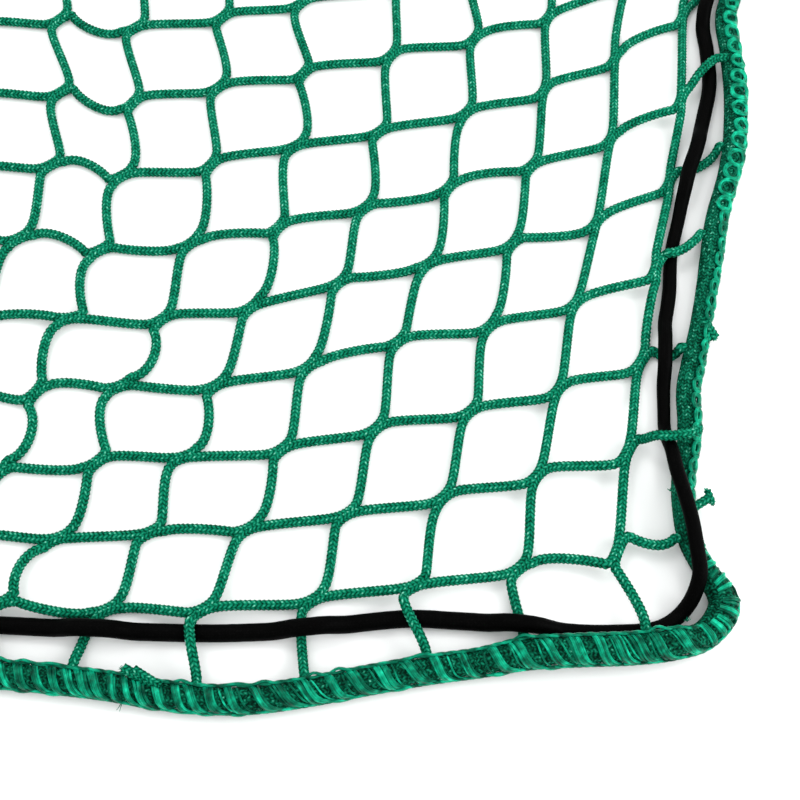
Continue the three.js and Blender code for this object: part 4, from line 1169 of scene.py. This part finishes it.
# Frayed fibres: where they stand, the way they point in degrees from the right, the fan they make
frayTable = [
    {"at": (-76.6, -84.5, 8), "way": 165, "fan": 40, "length": 1.5, "hairs": 20},
    {"at": (-74.1, -85.0, 8.6), "way": 110, "fan": 50, "length": 1.0, "hairs": 14},
    {"at": (98.2, 18.8, 3.8), "way": -65, "fan": 70, "length": 1.0, "hairs": 14},
    {"at": (90.9, -31.3, 5.2), "way": 85, "fan": 35, "length": 0.9, "hairs": 14},
    {"at": (92.5, -35.0, 4.6), "way": -60, "fan": 40, "length": 0.9, "hairs": 14},
    {"at": (81.2, -30.6, 3), "way": 130, "fan": 30, "length": 1.2, "hairs": 9},
    {"at": (82, -70.6, 6.6), "way": 110, "fan": 45, "length": 1.0, "hairs": 7},
    {"at": (84, -72.6, 6.6), "way": 120, "fan": 45, "length": 1.0, "hairs": 7},
    {"at": (-78, -92, 3), "way": -95, "fan": 12, "length": 3.4, "hairs": 2},
]
# A fibre: its thickness and the share of that at its tip, how far it droops, as a share of its
# length, and how far beside its spot it may start
fray = {
    "thick": 0.36, "tip": 0.5, "steps": 4, "droop": 0.25, "start": 0.8,
    "rises": (-0.3, 0.5), "curls": (-0.5, 0.5), "lengths": (0.5, 1.1),
}


# the frays of the table, and the end of the bar that rides on the rope
def allFrays():
    bar = edgeBars[ridingBar]
    x, y = plus(bar["end"], net["middle"])
    way = math.degrees(math.atan2(-bar["inward"][1], -bar["inward"][0]))
    height = net["rideHeight"] + net["twine"] / 2
    return frayTable + [{"at": (x, y, height), "way": way, "fan": 90, "length": 1.4, "hairs": 30}]


def frayLines():
    dice = random.Random(3)
    lines = []
    for row in allFrays():
        x, y, z = plus(row["at"], (*net["middle"], 0), -1)
        for _ in range(row["hairs"]):
            turn = math.radians(row["way"] + dice.uniform(-row["fan"], row["fan"]))
            rise = dice.uniform(*fray["rises"])
            curl = dice.uniform(*fray["curls"])
            reach = row["length"] * dice.uniform(*fray["lengths"])
            side = dice.uniform(-fray["start"], fray["start"])
            line = []
            for i in range(fray["steps"] + 1):
                t = i / fray["steps"]
                bend = turn + curl * t
                out = reach * t
                point = (x + math.cos(bend) * out - math.sin(turn) * side,
                         y + math.sin(bend) * out + math.cos(turn) * side,
                         z + (rise * t - fray["droop"] * t * t) * reach)
                line.append((point, out, fray["thick"] / 2 * mix(1, fray["tip"], t), upwards))
            lines.append(line)
    return lines


def stubLines():
    lines = []
    for row in stubTable:
        ends = [plus(end, (*net["middle"], 0), -1) for end in (row["from"], row["to"])]
        lines.append([(end, apart(ends[0], end), row["width"] / 2, upwards) for end in ends])
    return lines


hairCover = dict(threadCover, Sides=3)
ropePieces = [
    coverRound("rope_core", rope, ropeSection["spacing"], coreSection, coreKnit),
    cover(lineObject("rope_bundles", bundleLines()), threadCover),
    cover(lineObject("rope_sewing", sewingLineRuns(), closed=True), threadCover),
    cover(lineObject("cut_ends", stubLines()), twineKnit),
    cover(lineObject("frays", frayLines()), hairCover),
]
print("rope done")

# elastic cord: rubber threads in a braided black cover, matt
elasticFinish = dict(
    twineFinish,
    stops=[(0.05, "#000000"), (0.3, "#010101"), (0.55, "#020202"), (0.8, "#040404"), (1.0, "#090808")],
    roughness=0.55, gloss=0.02, bump=0.03 * mm, patchTone=0.5, slip=0.1 * mm, fleck=0.4 * mm,
)
elasticBraid = {
    "Ring step": 1.6 * mm, "Sides": 18, "Stitch": 1.0 * mm, "Columns": 22.0, "Slant": 0.8,
    "Depth": 0.04 * mm, "Squash": 1.0,
}
elasticSpacing = 1.5  # mm between the places where its line is drawn
elasticBraid["Finish"] = makeYarnMaterial("braided black cover", elasticFinish, elasticBraid)


def cordSection(along, width, _):
    return width / 2, cordUnderside(along) + width / 2


elasticPiece = coverRound("elastic", cord, elasticSpacing, cordSection, elasticBraid)
print("elastic done")

for piece in netPieces:
    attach(piece, "root")
    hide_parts("net")
for piece in ropePieces:
    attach(piece, "root")
    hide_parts("border_rope")
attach(elasticPiece, "root")
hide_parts("elastic_cord")


# floor and light: a bright tent, a lamp above the left back corner and a low one that lights the
# rope's right side
studio = {
    "floor": {"half": 3, "colour": "#F6F7F7", "roughness": 0.9, "gloss": 0.1},
    "sky": 1.33,
    "lamps": {
        "key": {"place": (-0.35, 0.5, 1.2), "aim": (0.06, -0.05, 0), "size": 0.35, "power": 3},
        "side": {"place": (0.6, -0.1, 0.35), "aim": (0.1, -0.05, 0), "size": 0.3, "power": 2},
    },
}


def makeFloor(half, colour, roughness, gloss):
    corners = [(-half, -half, 0), (half, -half, 0), (half, half, 0), (-half, half, 0)]
    sheet = bpy.data.meshes.new("floor")
    sheet.from_pydata(corners, [], [(0, 1, 2, 3)])
    floor = addObject("floor", sheet)
    material, _, shader = newMaterial("white card")
    shader.inputs["Base Color"].default_value = linear(colour)
    shader.inputs["Roughness"].default_value = roughness
    shader.inputs["Specular IOR Level"].default_value = gloss
    sheet.materials.append(material)
    floor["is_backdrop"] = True


def makeLight(name, place, aim, size, power):
    data = bpy.data.lights.new(name, "AREA")
    data.size = size
    data.energy = power
    light = addObject(name, data)
    light.location = place
    light.rotation_euler = (Vector(aim) - Vector(place)).to_track_quat("-Z", "Y").to_euler()


def makeStudio():
    makeFloor(**studio["floor"])
    for name, lamp in studio["lamps"].items():
        makeLight(name, **lamp)
    world = bpy.data.worlds.new("studio")
    world.use_nodes = True
    background = world.node_tree.nodes["Background"]
    background.inputs[0].default_value = (1, 1, 1, 1)
    background.inputs[1].default_value = studio["sky"]
    bpy.context.scene.world = world
    bpy.context.scene.view_settings.view_transform = "Standard"


makeStudio()
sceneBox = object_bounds()
boxes = {"cad": cadBox, "scene": sceneBox}
{name: [list(corner) for corner in box] for name, box in boxes.items()}
